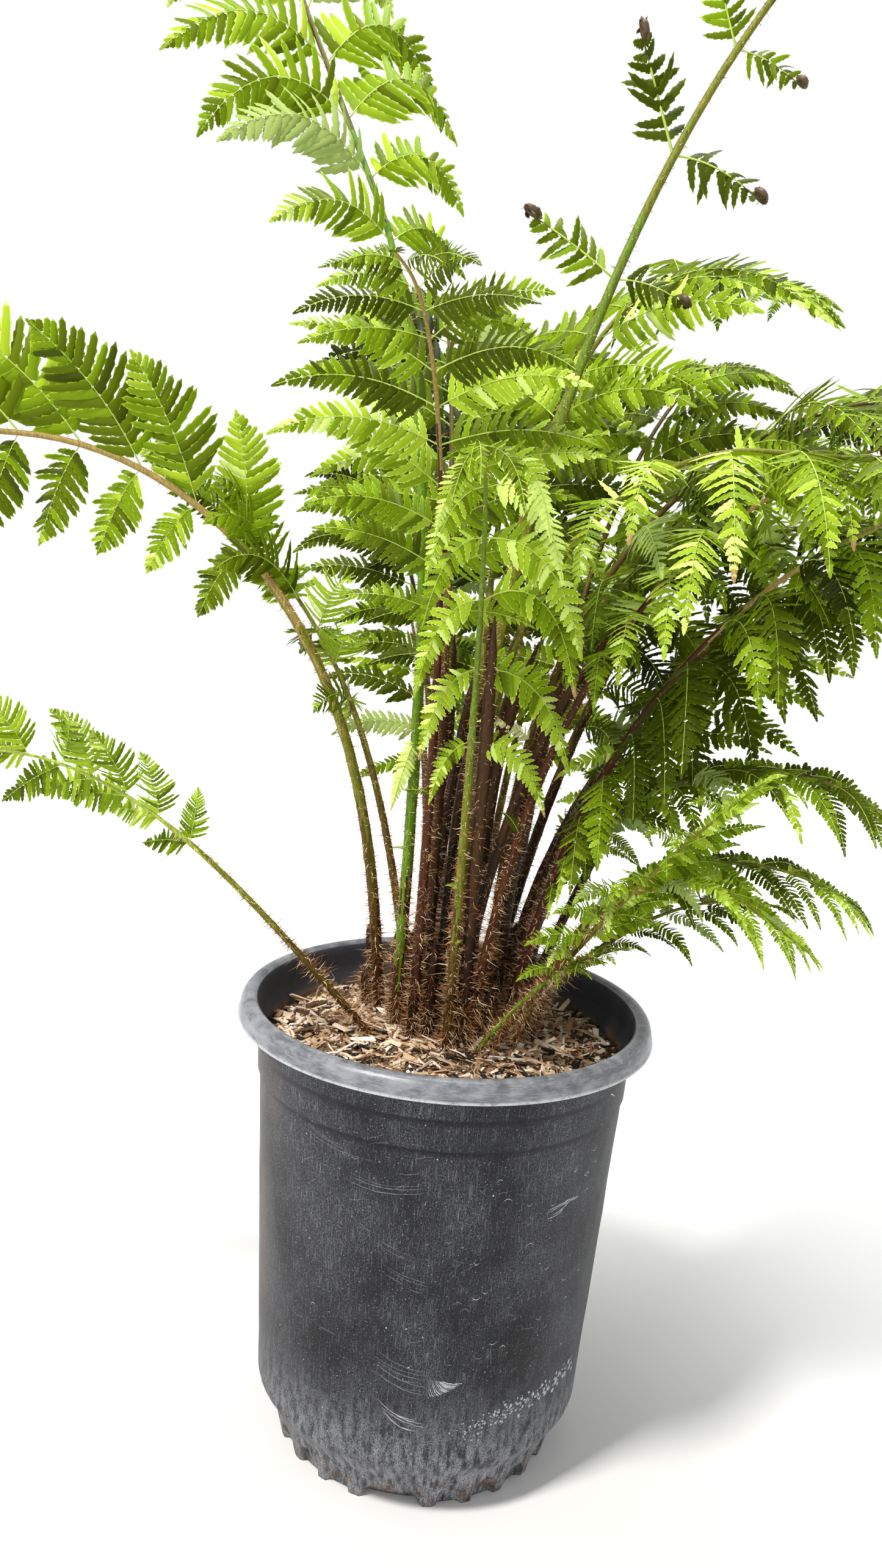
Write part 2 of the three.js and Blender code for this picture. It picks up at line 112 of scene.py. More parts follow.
# One row for each frond, with the source's columns
COLUMNS = (
    "x", "y", "toward", "lean", "bend", "arch", "settled", "length", "bare", "reach", "pairs",
    "roll", "hang", "curl", "foot",
)
FRONDS = {
    "low_left": (-50, -22, 182, 44, 60, 3, 0.8, 430, 0.45, 58, 8, 30, 0.15, 0, 2.7),
    "left_arch": (-48, 30, 185, 6, 84, 1.9, 0.6, 840, 0.38, 125, 12, 75, 0.15, 0, 4.2),
    "left_back": (-24, 14, 164, 11, 43, 2.2, 0.79, 456, 0.52, 84, 8, 20, 0.3, 0, 3.5),
    "top_left": (-34, -8, 140, 0, 32, 3.2, 0.58, 960, 0.52, 124, 12, -15, 0.35, 0, 4.2),
    "central": (-22, -24, 262, 0, 88, 2.8, 0.95, 570, 0.48, 92, 10, 0, 0.2, 0, 3.8),
    "unfurling": (-10, 6, 20, 4, 41, 1.9, 1, 850, 0.55, 95, 4, 65, 0.1, 330, 4.6),
    "right_upper": (10, 30, 42, 0, 90, 3.3, 0.85, 740, 0.5, 120, 11, 0, 0.35, 0, 4.2),
    "right_light": (4, -14, 338, 0, 92, 2.9, 0.68, 700, 0.46, 118, 11, 0, 0.6, 0, 4.2),
    "right_fan": (14, -32, 350, 7, 95, 2, 1, 590, 0.44, 110, 11, 0, 0.6, 0, 3.5),
    "right_brown": (26, -8, 355, 1, 96, 2.2, 0.85, 670, 0.4, 115, 12, 0, 0.5, 0, 4.2),
    "right_olive": (30, 14, 8, 0, 80, 2.8, 0.56, 720, 0.38, 112, 12, 0, 0.4, 0, 4.2),
    "right_hairy": (26, 34, 32, 12, 75, 1.6, 1, 700, 0.38, 108, 12, 0, 0.6, 0, 4.2),
    "right_mid": (40, 28, 5, 6, 67, 1.2, 0.8, 600, 0.34, 102, 12, 0, 0.8, 0, 3.8),
    "right_deep": (38, -14, 352, 10, 92, 1.7, 1, 600, 0.36, 105, 11, 0, 0.8, 0, 3.8),
    "right_low": (44, 8, 340, 6, 130, 1.6, 1, 380, 0.4, 78, 10, 0, 0.4, 0, 3.8),
    "low_near": (48, -18, 330, 18, 100, 2, 0.85, 270, 0.4, 60, 8, 0, 0.3, 0, 3.1),
    "low_far": (54, -4, 342, 12, 117, 1.4, 1, 295, 0.42, 70, 8, 0, 0.3, 0, 3.1),
    "pale_near": (30, -28, 328, 34, 12, 1.8, 1, 270, 0.5, 62, 8, 0, 0.25, 0, 3.1),
    "thin_far": (54, 14, 20, 35, 74, 1.2, 1, 240, 0.45, 50, 7, 0, 0.3, 0, 2.7),
    "front_mid": (2, -40, 267, 0, 90, 3.1, 0.89, 500, 0.46, 98, 6, 0, 1.1, 0, 3.5),
    "little_front": (20, -46, 345, 32, 40, 2, 1, 130, 0.6, 26, 5, 0, 0.3, 0, 1.9),
    "back_right": (34, 46, 60, 10, 85, 2, 1, 700, 0.38, 115, 12, 0, 0.35, 0, 3.8),
    "back_mid": (0, 50, 85, 8, 88, 2, 1, 720, 0.42, 120, 12, 0, 0.35, 0, 3.8),
    "back_left": (-16, 36, 98, 6, 80, 2, 1, 700, 0.45, 120, 11, 0, 0.3, 0, 3.8),
    "back_dark": (-8, 44, 112, 12, 85, 2, 1, 540, 0.46, 85, 9, 0, 0.3, 0, 3.5),
    "back_low_right": (50, 26, 45, 30, 70, 1.8, 1, 560, 0.36, 95, 10, 0, 0.35, 0, 3.5),
    "back_low_mid": (12, 54, 75, 22, 68, 1.8, 1, 520, 0.46, 90, 9, 0, 0.35, 0, 3.5),
    "back_low_left": (-14, 54, 100, 32, 70, 1.8, 1, 520, 0.46, 90, 9, 0, 0.35, 0, 3.5),
}

# What this script adds for each frond: how many pairs of leaflets there are to one of the source's,
# how many pairs of pinnules a leaflet has, how far the leaflets turn their face to the front, half
# their breadth to their length, how long their tips are drawn out, how much they lean to the tip,
# rise at their root and hang limp at their end, how much limper and shorter those on the right of
# the stalk are, how much of the source's bare stalk is bare, how far the leaflets turn across the
# view from the front, and the tones of the leaflets and of the stalk
LOOK_COLUMNS = (
    "finer", "pinnules", "facing", "breadth", "tail", "swept", "lift", "limp", "limper", "early",
    "flat", "tone", "stalk_tone",
)
LOOKS = {
    "low_left": (1.5, 16, 0.85, 0.34, 0.4, 0, 0.1, 0.2, 0, 0.85, 0.75, "sunny", "light"),
    "left_arch": (1.25, 16, 0.9, 0.32, 0, 0.7, 0.1, 0.1, 2.0, 1, 0, "leafy", "tan"),
    "left_back": (1.25, 17, 0.8, 0.3, 0.3, 0, 0.1, 0.7, 0, 0.9, 0.4, "leafy", "olive"),
    "top_left": (1.0, 17, 0.6, 0.29, 0.5, 0.1, 0.6, 1.2, 0, 1, 0, "fresh", "bright"),
    "central": (1.3, 18, 0.85, 0.24, 0.7, 0.05, 0.15, 0.5, 0, 1, 0, "green", "red"),
    "unfurling": (1.0, 16, 0.6, 0.22, 0.75, 0, 0.2, 0.1, 0.9, 1, 0, "young", "young"),
    "right_upper": (1.2, 18, 0.35, 0.25, 0.6, 0, 0.1, 0.6, 0, 1, 0, "leafy", "olive"),
    "right_light": (1.1, 19, 0.7, 0.27, 1, 0, 0, 1.4, 0, 1, 0, "pale", "olive"),
    "right_fan": (1.1, 19, 0.8, 0.27, 1, 0, 0, 1.2, 0, 1, 0, "sunny", "red"),
    "right_brown": (1.2, 19, 0.6, 0.26, 0.9, 0, 0, 0.9, 0, 1, 0, "deep", "brown"),
    "right_olive": (1.2, 18, 0.5, 0.26, 0.8, 0, 0, 0.9, 0, 0.85, 0, "deep", "olive"),
    "right_hairy": (1.4, 18, 0.5, 0.27, 0.8, 0, 0, 1.5, 0, 0.75, 0, "deep", "brown"),
    "right_mid": (1.6, 18, 0.6, 0.25, 0.6, 0, 0, 1.8, 0, 0.65, 0, "deep", "brown"),
    "right_deep": (1.4, 18, 0.7, 0.25, 0.6, 0, 0, 1.8, 0, 0.7, 0, "deep", "red"),
    "right_low": (1.3, 18, 0.7, 0.15, 0.3, 0.4, 0, 1.2, 0, 0.65, 0, "green", "brown"),
    "low_near": (1.35, 18, 0.7, 0.13, 0.2, 0.5, 0, 1.1, 0, 0.6, 0.4, "fresh", "olive"),
    "low_far": (1.3, 18, 0.6, 0.13, 0.2, 0.4, 0, 1.1, 0, 0.65, 0, "green", "olive"),
    "pale_near": (1.3, 18, 0.7, 0.17, 0.3, 0, 0, 0.4, 0, 0.55, 0.4, "fresh", "olive"),
    "thin_far": (1.4, 16, 0.4, 0.15, 0.2, 0.3, 0, 1.0, 0, 0.7, 0, "green", "olive"),
    "front_mid": (1.2, 18, 0.8, 0.2, 0.6, 0, 0, 1.7, 1.4, 0.8, 0, "sunny", "leafy"),
    "little_front": (1.4, 14, 0.5, 0.22, 0.4, 0, 0.1, 0.2, 0, 1, 0, "green", "bright"),
    "back_right": (1.2, 16, 0.4, 0.24, 0.6, 0, 0, 0.4, 0, 0.75, 0, "deep", "brown"),
    "back_mid": (1.2, 16, 0.5, 0.24, 0.6, 0, 0, 0.4, 0, 0.75, 0, "deep", "olive"),
    "back_left": (1.2, 16, 0.7, 0.24, 0.6, 0, 0, 0.4, 0, 1, 0, "deep", "brown"),
    "back_dark": (1.3, 16, 0.85, 0.24, 0.6, 0, 0, 0.5, 0, 1, 0, "deep", "brown"),
    "back_low_right": (1.2, 14, 0, 0.24, 0.6, 0, 0, 0.4, 0, 0.75, 0, "green", "brown"),
    "back_low_mid": (1.2, 14, 0, 0.24, 0.6, 0, 0, 0.4, 0, 0.75, 0, "green", "olive"),
    "back_low_left": (1.2, 14, 0, 0.24, 0.6, 0, 0, 0.4, 0, 0.75, 0, "green", "brown"),
}

# Fronds whose leaflets are joined in one piece
GROUPS = {
    "leaflets_left": ("low_left", "left_arch", "left_back", "top_left", "back_left", "back_dark"),
    "leaflets_middle": ("central", "unfurling", "front_mid", "little_front", "pale_near", "right_fan"),
    "leaflets_upper_right": ("right_upper", "right_light", "right_brown", "right_olive"),
    "leaflets_right": ("right_hairy", "right_mid", "right_deep"),
    "leaflets_low_right": ("right_low", "low_near", "low_far", "thin_far"),
    "leaflets_back": ("back_right", "back_mid", "back_low_right", "back_low_mid", "back_low_left"),
}

# Plain tints of the leaflets, from light to dark, and the share of each in a tone
TINTS = {
    "straw": 0xECE8B0,
    "pale": 0xC8DD74,
    "yellow_green": 0x9AB427,
    "bright": 0x728D0D,
    "mid": 0x596A08,
    "deep": 0x3F4C04,
    "dark": 0x252C03,
    "underside": 0x93A65A,
    "tip_brown": 0xA9805A,
    "young_brown": 0x3B2418,
}
LIGHTEST, DEEPEST, DARKEST = (list(TINTS).index(name) for name in ("pale", "deep", "dark"))
TONES = {
    "pale": {"pale": 0.36, "yellow_green": 0.4, "bright": 0.2, "mid": 0.04},
    "sunny": {"pale": 0.1, "yellow_green": 0.34, "bright": 0.4, "mid": 0.12, "underside": 0.04},
    "fresh": {"yellow_green": 0.16, "bright": 0.8, "underside": 0.04},
    "leafy": {"yellow_green": 0.12, "bright": 0.48, "mid": 0.4},
    "green": {"yellow_green": 0.06, "bright": 0.25, "mid": 0.39, "deep": 0.26, "underside": 0.04},
    # The deep tone's dark tints are painted shade, for the fronds deep in the clump and behind it.
    "deep": {"bright": 0.12, "mid": 0.34, "deep": 0.38, "dark": 0.13, "underside": 0.03},
    "young": {"mid": 0.3, "deep": 0.7},
}

# Leaflets: the pinnae of each frond, and the pinnules of each pinna
PINNA_STEPS = 12
PINNA_SWEEP = 0.16
STRAY = 0.12
ROOT_OUT = 0.6
SWEEP_RANGE = (0.3, 1.3)
LIMP_RANGE = (0.5, 1.5)
LIMPER_AT_ROOT = 0.35
YOUNG_DISORDER = 2.4
YOUNG_GREEN_SHARE = 0.45
YOUNG_LENGTHENING = 1.3
YOUNG_SLIMMING = 0.9
YOUNG_COSTA = 1.6
LIMP_SHORTENING = 0.2
TIP_FORWARD = 3
TIP_LENGTHENING = 1.2
PINNA_WAVE = 7
PINNA_WAVES_ALONG = 5
PINNA_TWIST = 40
LIFT_ENDS = 0.55
COURSE_STEPS = 24
FIDDLEHEAD_FROM = 0.56
FIDDLEHEAD_TURN = 560
FIDDLEHEAD_TIGHTENING = 1.3
FIDDLEHEAD_FOLD = 75
FIDDLEHEAD_SHRINK = 0.88
LIMB_CLEARANCE = 4
COSTA_SIDES = 4
COSTA_RADIUS_SHARE = 0.005
COSTA_LEAST = 0.22
COIL_SWELLING = 1.9
PINNULE_FIRST = 0.06
PINNULE_CROWDING = 1.12
PINNULE_WIDTH_SHARE = 0.56
PINNULE_TAIL_SLIMMING = 0.07
PINNULE_LEAST = 0.04
PINNULE_SPREAD = 72
PINNULE_CLOSING = 22
PINNULE_STRAY = 3.5
PINNULE_TILT = 8
PINNULE_ROLL = 16
PINNULE_FOLD = 0.34
PINNULE_CUP = 0.16
PINNULE_SICKLE = 0.14
PINNULE_LOBES = 4
BACK_PINNULE_LOBES = 3
NOTCH_DEPTH = 0.3
LOBE_AT = 0.8
BLUNT_END = 0.4
POINTED_END = 0.7
BLUNT_POWERS = (5, 0.55)
POINTED_POWERS = (2.4, 0.8)
TIP_PINNULE_AT = 0.965
TIP_PINNULE_LENGTH = 0.07
BROWNED_SHARE = 0.3

# Single leaflets on the bare stalks: root (x, z), way (x, y, z), length and tint
STRAYS = (
    ((31, 492), (-0.75, -0.2, 0.66), 44, "straw"),
    ((11, 397), (-0.5, -0.5, 0.6), 14, "yellow_green"),
    ((11, 359), (0.3, -0.6, 0.7), 10, "yellow_green"),
    ((-44, 433), (-0.9, -0.3, 0.3), 13, "yellow_green"),
    ((-41, 510), (-0.3, -0.3, -0.9), 50, "pale"),
    ((90, 494), (-0.95, -0.2, -0.25), 46, "yellow_green"),
    ((46, 434), (-0.4, -0.4, 0.8), 26, "deep"),
    ((76, 497), (-0.9, -0.1, -0.2), 34, "mid"),
    ((102, 401), (0.7, -0.4, 0.3), 30, "mid"),
    ((68, 413), (0.6, -0.5, -0.3), 28, "bright"),
    ((-23, 456), (-0.8, -0.4, 0.3), 20, "mid"),
    ((60, 380), (0.7, -0.6, 0.2), 24, "mid"),
    ((95, 450), (0.9, -0.3, -0.1), 36, "bright"),
    ((120, 430), (0.8, -0.3, -0.4), 34, "mid"),
)
STRAY_SEARCH = 12
STRAYS_LIKE = "pale_near"

# Pot: arched coves round the foot, and marks on the wall by compass angle from the front and height
COVE_HEIGHT = 19
COVE_HALF_ANGLE = 5.4
COVE_DEPTH = 4.2
COVE_STEEPNESS = 2.2
ARCH_HALF_ANGLE = 12.5
ARCH_EDGE_ANGLE = 3.5
PANEL_PRESS = 3
WALL_WOBBLE = 0.45
WOBBLE_SIZE = 70
WOBBLE_RADIUS = 120
WOBBLE_ENDS = 30
MARK_PROUD = 0.07
LINE_STEPS = 15
SPECK_CORNERS = 7
SCUFF_TINTS = {"scuff_bright": 0xB9BBBD, "scuff_faint": 0x76787D}
RIM_SECTION = (
    (137.5, 305.0), (140.2, 304.8), (142.0, 305.0), (142.0, 305.7), (141.3, 306.5), (140.9, 308.5),
    (140.7, 311.5), (139.9, 314.2), (138.1, 316.6), (135.6, 317.8), (133.4, 318.0), (131.2, 317.4),
    (129.6, 316.0),
)
FLOOR_EDGE = BASE_RADIUS - WALL - COVE_DEPTH
UNDERSIDE_SECTION = ((0.01, 0), (FLOOR_EDGE - 8, 0), (FLOOR_EDGE - 3, 0))
INSIDE_SECTION = (
    (128.7, 313.8), (128.4, 309.0), (128.0, 301.0), (127.4, 294.0),
    (NECK_RADIUS - LEDGE_SIZE / 2 - 0.5, POT_HEIGHT - LEDGE_DEPTH - LEDGE_SIZE),
    (NECK_RADIUS - LEDGE_SIZE, SOIL_LEVEL - 4), (FOOT_RADIUS - WALL - 1, FOOT_HEIGHT),
    (FLOOR_EDGE - 3, WALL + DRAIN_HEIGHT), (0.01, WALL + DRAIN_HEIGHT),
)
SCRATCHES = (
    # From and to (angle, height), bow, number of lines, their spacing, width, and if they are bright
    ((-28.5, 224), (-0.1, 191), -7, 2, 2.2, 0.5, False),
    ((-10, 181), (2, 173), -1.5, 4, 2.4, 0.6, False),
    ((-12.6, 116), (3.1, 105), -3, 7, 2.7, 0.7, False),
    ((-10.9, 86), (3.5, 74), -3, 4, 2.6, 0.9, True),
    ((18.4, 156), (-5, 80), 5, 1, 1, 0.35, False),
    ((-25.5, 240), (-3.2, 241), -3, 3, 2.6, 0.5, False),
    ((36.3, 219), (52.6, 221), 1.5, 2, 1.2, 1.0, True),
    ((38, 215), (47, 222), -2, 2, 1.6, 0.7, True),
    ((2, 58), (12, 61), 1, 3, 2.2, 0.6, False),
    ((-24, 52), (-13, 44), -1, 2, 3, 0.6, False),
    ((-18, 36), (-8, 24), 0, 1, 1, 0.7, True),
    ((24, 150), (33, 170), 1, 2, 3, 0.4, False),
    ((-40, 262), (-18, 256), -2, 3, 2, 0.5, False),
)
CHIP_PLACE = (9, 102)
CHIP_RIDGES = 13
NICKS = 46
FINE_SCRATCHES = 150
SPECKS = 620
SPLASH = ((67, 84), (42, 81), (30.5, 77), (15.7, 66))
SPLASH_SPECKS = 260

# Mulch: number of chips, of large chips and of crumbs, and the ranges of their length, width and
# thickness, then number of roots and of twigs, the range of their length, and their radius
CHIP_SIZES = (
    (2300, (3, 16), (1.2, 4), (0.6, 1.7)),
    (230, (14, 30), (2.6, 5.6), (0.9, 2.2)),
    (3400, (0.8, 2.6), (0.6, 1.6), (0.5, 1.3)),
)
FIBRE_SIZES = ((260, (10, 30), 0.22), (9, (34, 62), 0.9))
CHIP_TINTS = (0xF2DCC0, 0xD6B490, 0xA67E5A, 0x54361F, 0xFFF2E2, 0x1C0D04)
CHIP_SHARES = (0.24, 0.22, 0.18, 0.12, 0.12, 0.12)
PERLITE = 70
MULCH_RADIUS = 123
MULCH_RINGS = 34
MULCH_SIDES = 150

# Rings and sides of the mat on the crown stem
CROWN_RINGS = 22
CROWN_SIDES = 96

# Stalks: tints from the foot of the bare stalk to the tip of the frond, for each tone
STALK_TINTS = {
    "black_brown": 0x281406,
    "umber": 0x442A0C,
    "red_brown": 0x4C260C,
    "olive_brown": 0x5A4A12,
    "olive": 0x76781A,
    "leaf_green": 0x6C861E,
    "fresh_green": 0x648C10,
    "tan": 0xA0884A,
    "lime": 0xA6BA4A,
}
STALK_TONES = {
    "bright": ("umber", "fresh_green", "fresh_green", "fresh_green", "olive_brown", "olive_brown"),
    "olive": ("umber", "olive_brown", "olive_brown", "olive", "olive", "leaf_green"),
    "brown": ("black_brown", "umber", "umber", "olive_brown", "olive_brown", "olive"),
    "red": ("black_brown", "red_brown", "red_brown", "red_brown", "tan", "tan"),
    "leafy": ("umber", "olive_brown", "olive", "leaf_green", "leaf_green", "leaf_green"),
    "young": ("umber", "olive_brown", "olive", "leaf_green", "olive", "olive_brown"),
    "tan": ("umber", "olive_brown", "olive", "tan", "tan", "tan"),
    "light": ("umber", "olive_brown", "olive", "lime", "lime", "tan"),
    "old": ("black_brown", "black_brown", "umber", "umber", "umber", "umber"),
}
STALK_SIDES = 14
STALK_STEPS = 56
STALK_SUNK = 7
RACHIS_SIDES = 8
RACHIS_STEPS = 40
GROOVE_DEPTH = 0.16
GROOVE_WIDTH = 0.45
RIB_SLIMMING = 0.85
HAIRS_PER_STALK = 1750
COMMON_STALK_LENGTH = 290
HAIRS_PER_RACHIS = 130
STUBS = 52
STUB_HEIGHTS = (20, 80)
STUB_LEAN = 15
OLD_STALKS_BY = (
    "central", "front_mid", "right_light", "right_light", "back_left", "back_mid",
    "right_fan", "right_brown", "right_olive", "unfurling", "unfurling", "right_mid",
)
OLD_STALK_FLARE = 1.1
OLD_STALK_BLUNTNESS = 14
OLD_STALK_SHORTER = 0.06
OLD_STALK_HEIGHTS = (250, 350)
HAIRS_PER_STUB = 270
HAIR_TINTS = (0xF0D2A4, 0xB4743C, 0x5C3014)
HAIR_SHARES = (0.36, 0.34, 0.3)
HAIRS_FROM = 0.002
WOOLLY_HEIGHT = 190
HAIR_LENGTHS = (2.4, 6.5)
HAIR_STEPS = 3
HAIR_FACES = np.array([(0, 1, 3), (0, 3, 2), (2, 3, 4)])
HAIR_HALF_WIDTH = 0.21


def to_linear(colour):
    """Linear red, green and blue of a colour written as 0xRRGGBB."""
    parts = [(colour >> shift & 255) / 255 for shift in (16, 8, 0)]
    return tuple(p / 12.92 if p <= 0.04045 else ((p + 0.055) / 1.055) ** 2.4 for p in parts)


def lit(colour, share):
    """A colour with a share of its light, as linear red, green and blue."""
    return tuple(share * part for part in to_linear(colour))


def unit(vectors):
    return vectors / np.linalg.norm(vectors, axis=-1, keepdims=True)


def smooth_step(value):
    value = np.clip(value, 0, 1)
    return value * value * (3 - 2 * value)


def turned(first, second, angle):
    """Two axes at right angles, both turned from the first towards the second."""
    return (first * np.cos(angle) + second * np.sin(angle),
            second * np.cos(angle) - first * np.sin(angle))


def round_axis(radius, turn, height=0):
    """Points at a radius and a turn in radians round the pot's axis, and at a height."""
    return np.stack([radius * np.cos(turn), radius * np.sin(turn), height + 0 * radius * turn], -1)


def source_noise(a, b, c):
    """The source's repeatable number from 0 to 1."""
    wave = np.sin(a * 12.9898 + b * 78.233 + c * 37.719) * 43758.5453
    return wave - np.floor(wave)


def waves(points, size, seed):
    """A smooth repeatable wobble of about -1 to 1 at each point, with features of about one size."""
    random = np.random.default_rng(seed)
    total = np.zeros(len(points))
    for octave in range(WAVE_OCTAVES):
        for _ in range(WAVES_PER_OCTAVE):
            direction = unit(random.normal(size=3)) * (2 ** octave * math.tau / size)
            total += np.sin(points @ direction + random.uniform(0, math.tau)) * 0.5 ** octave
    return total * WAVE_HEIGHT


class Heap:
    """Points and faces of many small things that are joined into one mesh."""

    def __init__(self):
        self.points = []
        self.faces = []
        self.slots = []
        self.count = 0

    def add(self, points, faces, slots):
        """points is (n, 3), faces is (m, 3) or (m, 4), and slots is one number or m of them."""
        self.points.append(points)
        self.faces.append(faces + self.count)
        self.slots.append(np.broadcast_to(slots, len(faces)))
        self.count += len(points)

    def add_many(self, points, faces, slots):
        """Adds k copies of one shape: points is (k, n, 3), and slots is one number, k or (k, m)."""
        copies, size = points.shape[:2]
        shifted = faces[None] + (np.arange(copies) * size)[:, None, None]
        slots = np.asarray(slots)
        if slots.ndim == 1:
            slots = slots[:, None]
        slots = np.broadcast_to(slots, (copies, len(faces))).ravel()
        self.add(points.reshape(-1, 3), shifted.reshape(-1, faces.shape[1]), slots)

    def build(self, name, materials, smooth=True):
        """Makes the joined mesh, in metres."""
        mesh = bpy.data.meshes.new(name)
        points = np.concatenate(self.points) * MM
        sizes = np.concatenate([np.full(len(f), f.shape[1]) for f in self.faces])
        mesh.vertices.add(len(points))
        mesh.vertices.foreach_set("co", points.astype(np.float32).ravel())
        mesh.loops.add(int(sizes.sum()))
        mesh.loops.foreach_set("vertex_index", np.concatenate([f.ravel() for f in self.faces]))
        mesh.polygons.add(len(sizes))
        mesh.polygons.foreach_set("loop_start", np.concatenate([[0], np.cumsum(sizes)[:-1]]))
        mesh.polygons.foreach_set("material_index", np.concatenate(self.slots))
        mesh.polygons.foreach_set("use_smooth", np.full(len(sizes), smooth))
        for material in materials:
            mesh.materials.append(material)
        mesh.update(calc_edges=True)
        piece = bpy.data.objects.new(name, mesh)
        bpy.context.collection.objects.link(piece)
        return piece


def grid_faces(rows, columns, closed):
    """Quads between neighbouring rows of points. A closed grid joins its last column to its first."""
    row, column = np.meshgrid(np.arange(rows - 1), np.arange(columns if closed else columns - 1),
                              indexing="ij")
    following = (column + 1) % columns
    corners = [row * columns + column, row * columns + following,
               (row + 1) * columns + following, (row + 1) * columns + column]
    return np.stack(corners, -1).reshape(-1, 4)


def ring_ways(across, upper, sides):
    """The ways from each centre to the points of a ring round it."""
    turn = (np.arange(sides) * math.tau / sides)[:, None]
    return across[..., None, :] * np.cos(turn) + upper[..., None, :] * np.sin(turn)


def tubes(centres, across, upper, radii, sides):
    """Points of tubes round (..., steps, 3) centres, and the quads of one tube."""
    points = centres[..., None, :] + ring_ways(across, upper, sides) * radii[..., None, None]
    steps = centres.shape[-2]
    return points.reshape(*centres.shape[:-2], steps * sides, 3), grid_faces(steps, sides, True)


class Nodes:
    """A node tree, with short calls for the few kinds of node that are used here."""

    def __init__(self, tree):
        self.tree = tree

    def node(self, kind, values=None, **settings):
        """A new node. values gives its inputs by name or number."""
        made = self.tree.nodes.new(kind)
        for key, value in settings.items():
            setattr(made, key, value)
        for socket, value in (values or {}).items():
            self.put(made.inputs[socket], value)
        return made

    def put(self, socket, value):
        """Links or sets an input. A whole number for a colour is 0xRRGGBB."""
        if isinstance(value, bpy.types.NodeSocket):
            self.tree.links.new(value, socket)
        elif socket.type == "RGBA":
            socket.default_value = (*(to_linear(value) if isinstance(value, int) else value), 1)
        else:
            socket.default_value = value

    def axes(self, vector):
        return self.node("ShaderNodeSeparateXYZ", {0: vector}).outputs

    def span(self, value, low, high, to_low=0.0, to_high=1.0):
        """A smooth step from to_low to to_high, as the value goes from low to high."""
        values = {"Value": value, "From Min": low, "From Max": high, "To Min": to_low, "To Max": to_high}
        return self.node("ShaderNodeMapRange", values, interpolation_type="SMOOTHSTEP").outputs[0]


class Shader(Nodes):
    """A material, built up from its main shader."""

    def __init__(self, name, roughness, specular=0.5):
        self.material = bpy.data.materials.new(name)
        self.material.use_nodes = True
        super().__init__(self.material.node_tree)
        self.surface = self.tree.nodes["Principled BSDF"]
        self.put(self.surface.inputs["Roughness"], roughness)
        self.put(self.surface.inputs["Specular IOR Level"], specular)
        self.spot = self.node("ShaderNodeTexCoord").outputs["Object"]

    def colour(self, value):
        self.put(self.surface.inputs["Base Color"], value)

    def maths(self, operation, a, b, clamp=False):
        return self.node("ShaderNodeMath", {0: a, 1: b}, operation=operation, use_clamp=clamp).outputs[0]

    def times(self, a, b):
        return self.maths("MULTIPLY", a, b)

    def plus(self, a, b, clamp=False):
        return self.maths("ADD", a, b, clamp)

    def most(self, a, b):
        return self.maths("MAXIMUM", a, b)

    def noise(self, where, scale, detail=3, roughness=0.55, stretch=None):
        """Noise at a place, which stretch scales axis by axis."""
        if stretch:
            where = self.node("ShaderNodeMapping", {"Vector": where, "Scale": stretch}).outputs[0]
        values = {"Vector": where, "Scale": scale, "Detail": detail, "Roughness": roughness}
        return self.node("ShaderNodeTexNoise", values).outputs["Fac"]

    def mix(self, share, first, second):
        return self.node("ShaderNodeMix", {0: share, 6: first, 7: second}, data_type="RGBA").outputs[2]

    def bump(self, height, distance, strength=1.0):
        values = {"Height": height, "Distance": distance, "Strength": strength}
        self.put(self.surface.inputs["Normal"], self.node("ShaderNodeBump", values).outputs[0])

    def let_light_through(self, share, colour):
        """Mixes in light that comes through from behind, as in a thin leaf."""
        through = self.node("ShaderNodeBsdfTranslucent", {"Color": colour}).outputs[0]
        mixed = self.node("ShaderNodeMixShader", {0: share, 1: self.surface.outputs[0], 2: through})
        self.put(self.tree.nodes["Material Output"].inputs["Surface"], mixed.outputs[0])


def grainy(name, colour, dark_share, roughness, scale, detail=3, relief=0):
    """A material that a fine grain darkens here and there, and that may have the grain's relief."""
    shader = Shader(name, roughness)
    grain = shader.noise(shader.spot, scale, detail)
    shader.colour(shader.mix(grain, colour, lit(colour, dark_share)))
    if relief:
        shader.bump(grain, relief, 0.6)
    return shader.material


def place(piece, slot, nodes=()):
    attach(piece, "root")
    if nodes:
        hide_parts(*nodes)


def make_stage():
    """A pale floor that brightens outwards, and a sky that is dimmer overhead."""
    shader = Shader("floor_pale", 0.9)
    shader.colour((0.8, 0.8, 0.8))
    apart = shader.node("ShaderNodeVectorMath", {0: shader.spot}, operation="LENGTH").outputs["Value"]
    shader.put(shader.surface.inputs["Emission Color"], (0.985, 0.99, 1.0))
    shader.put(shader.surface.inputs["Emission Strength"], shader.span(apart, 0.5, 1.8, 0, 0.55))
    heap = Heap()
    corners = np.array([(-1, -1, 0), (1, -1, 0), (1, 1, 0), (-1, 1, 0)])
    heap.add(corners * FLOOR_REACH, np.array([(0, 1, 2, 3)]), 0)
    heap.build("floor", [shader.material], smooth=False)

    world = bpy.data.worlds.new("studio")
    bpy.context.scene.world = world
    world.use_nodes = True
    sky = Nodes(world.node_tree)
    height = sky.axes(sky.node("ShaderNodeTexCoord").outputs["Generated"])[2]
    background = sky.tree.nodes["Background"].inputs
    sky.put(background["Color"], (1, 1, 1))
    sky.put(background["Strength"], sky.span(height, 0.34, 0.62, 1, 0.42))


def add_light(name, place, aim, size, power, colour=(1, 1, 1)):
    data = bpy.data.lights.new(name, "AREA")
    data.size = size
    data.energy = power
    data.color = colour
    light = bpy.data.objects.new(name, data)
    light.location = place
    light.rotation_euler = (Vector(aim) - Vector(place)).to_track_quat("-Z", "Y").to_euler()
    bpy.context.collection.objects.link(light)


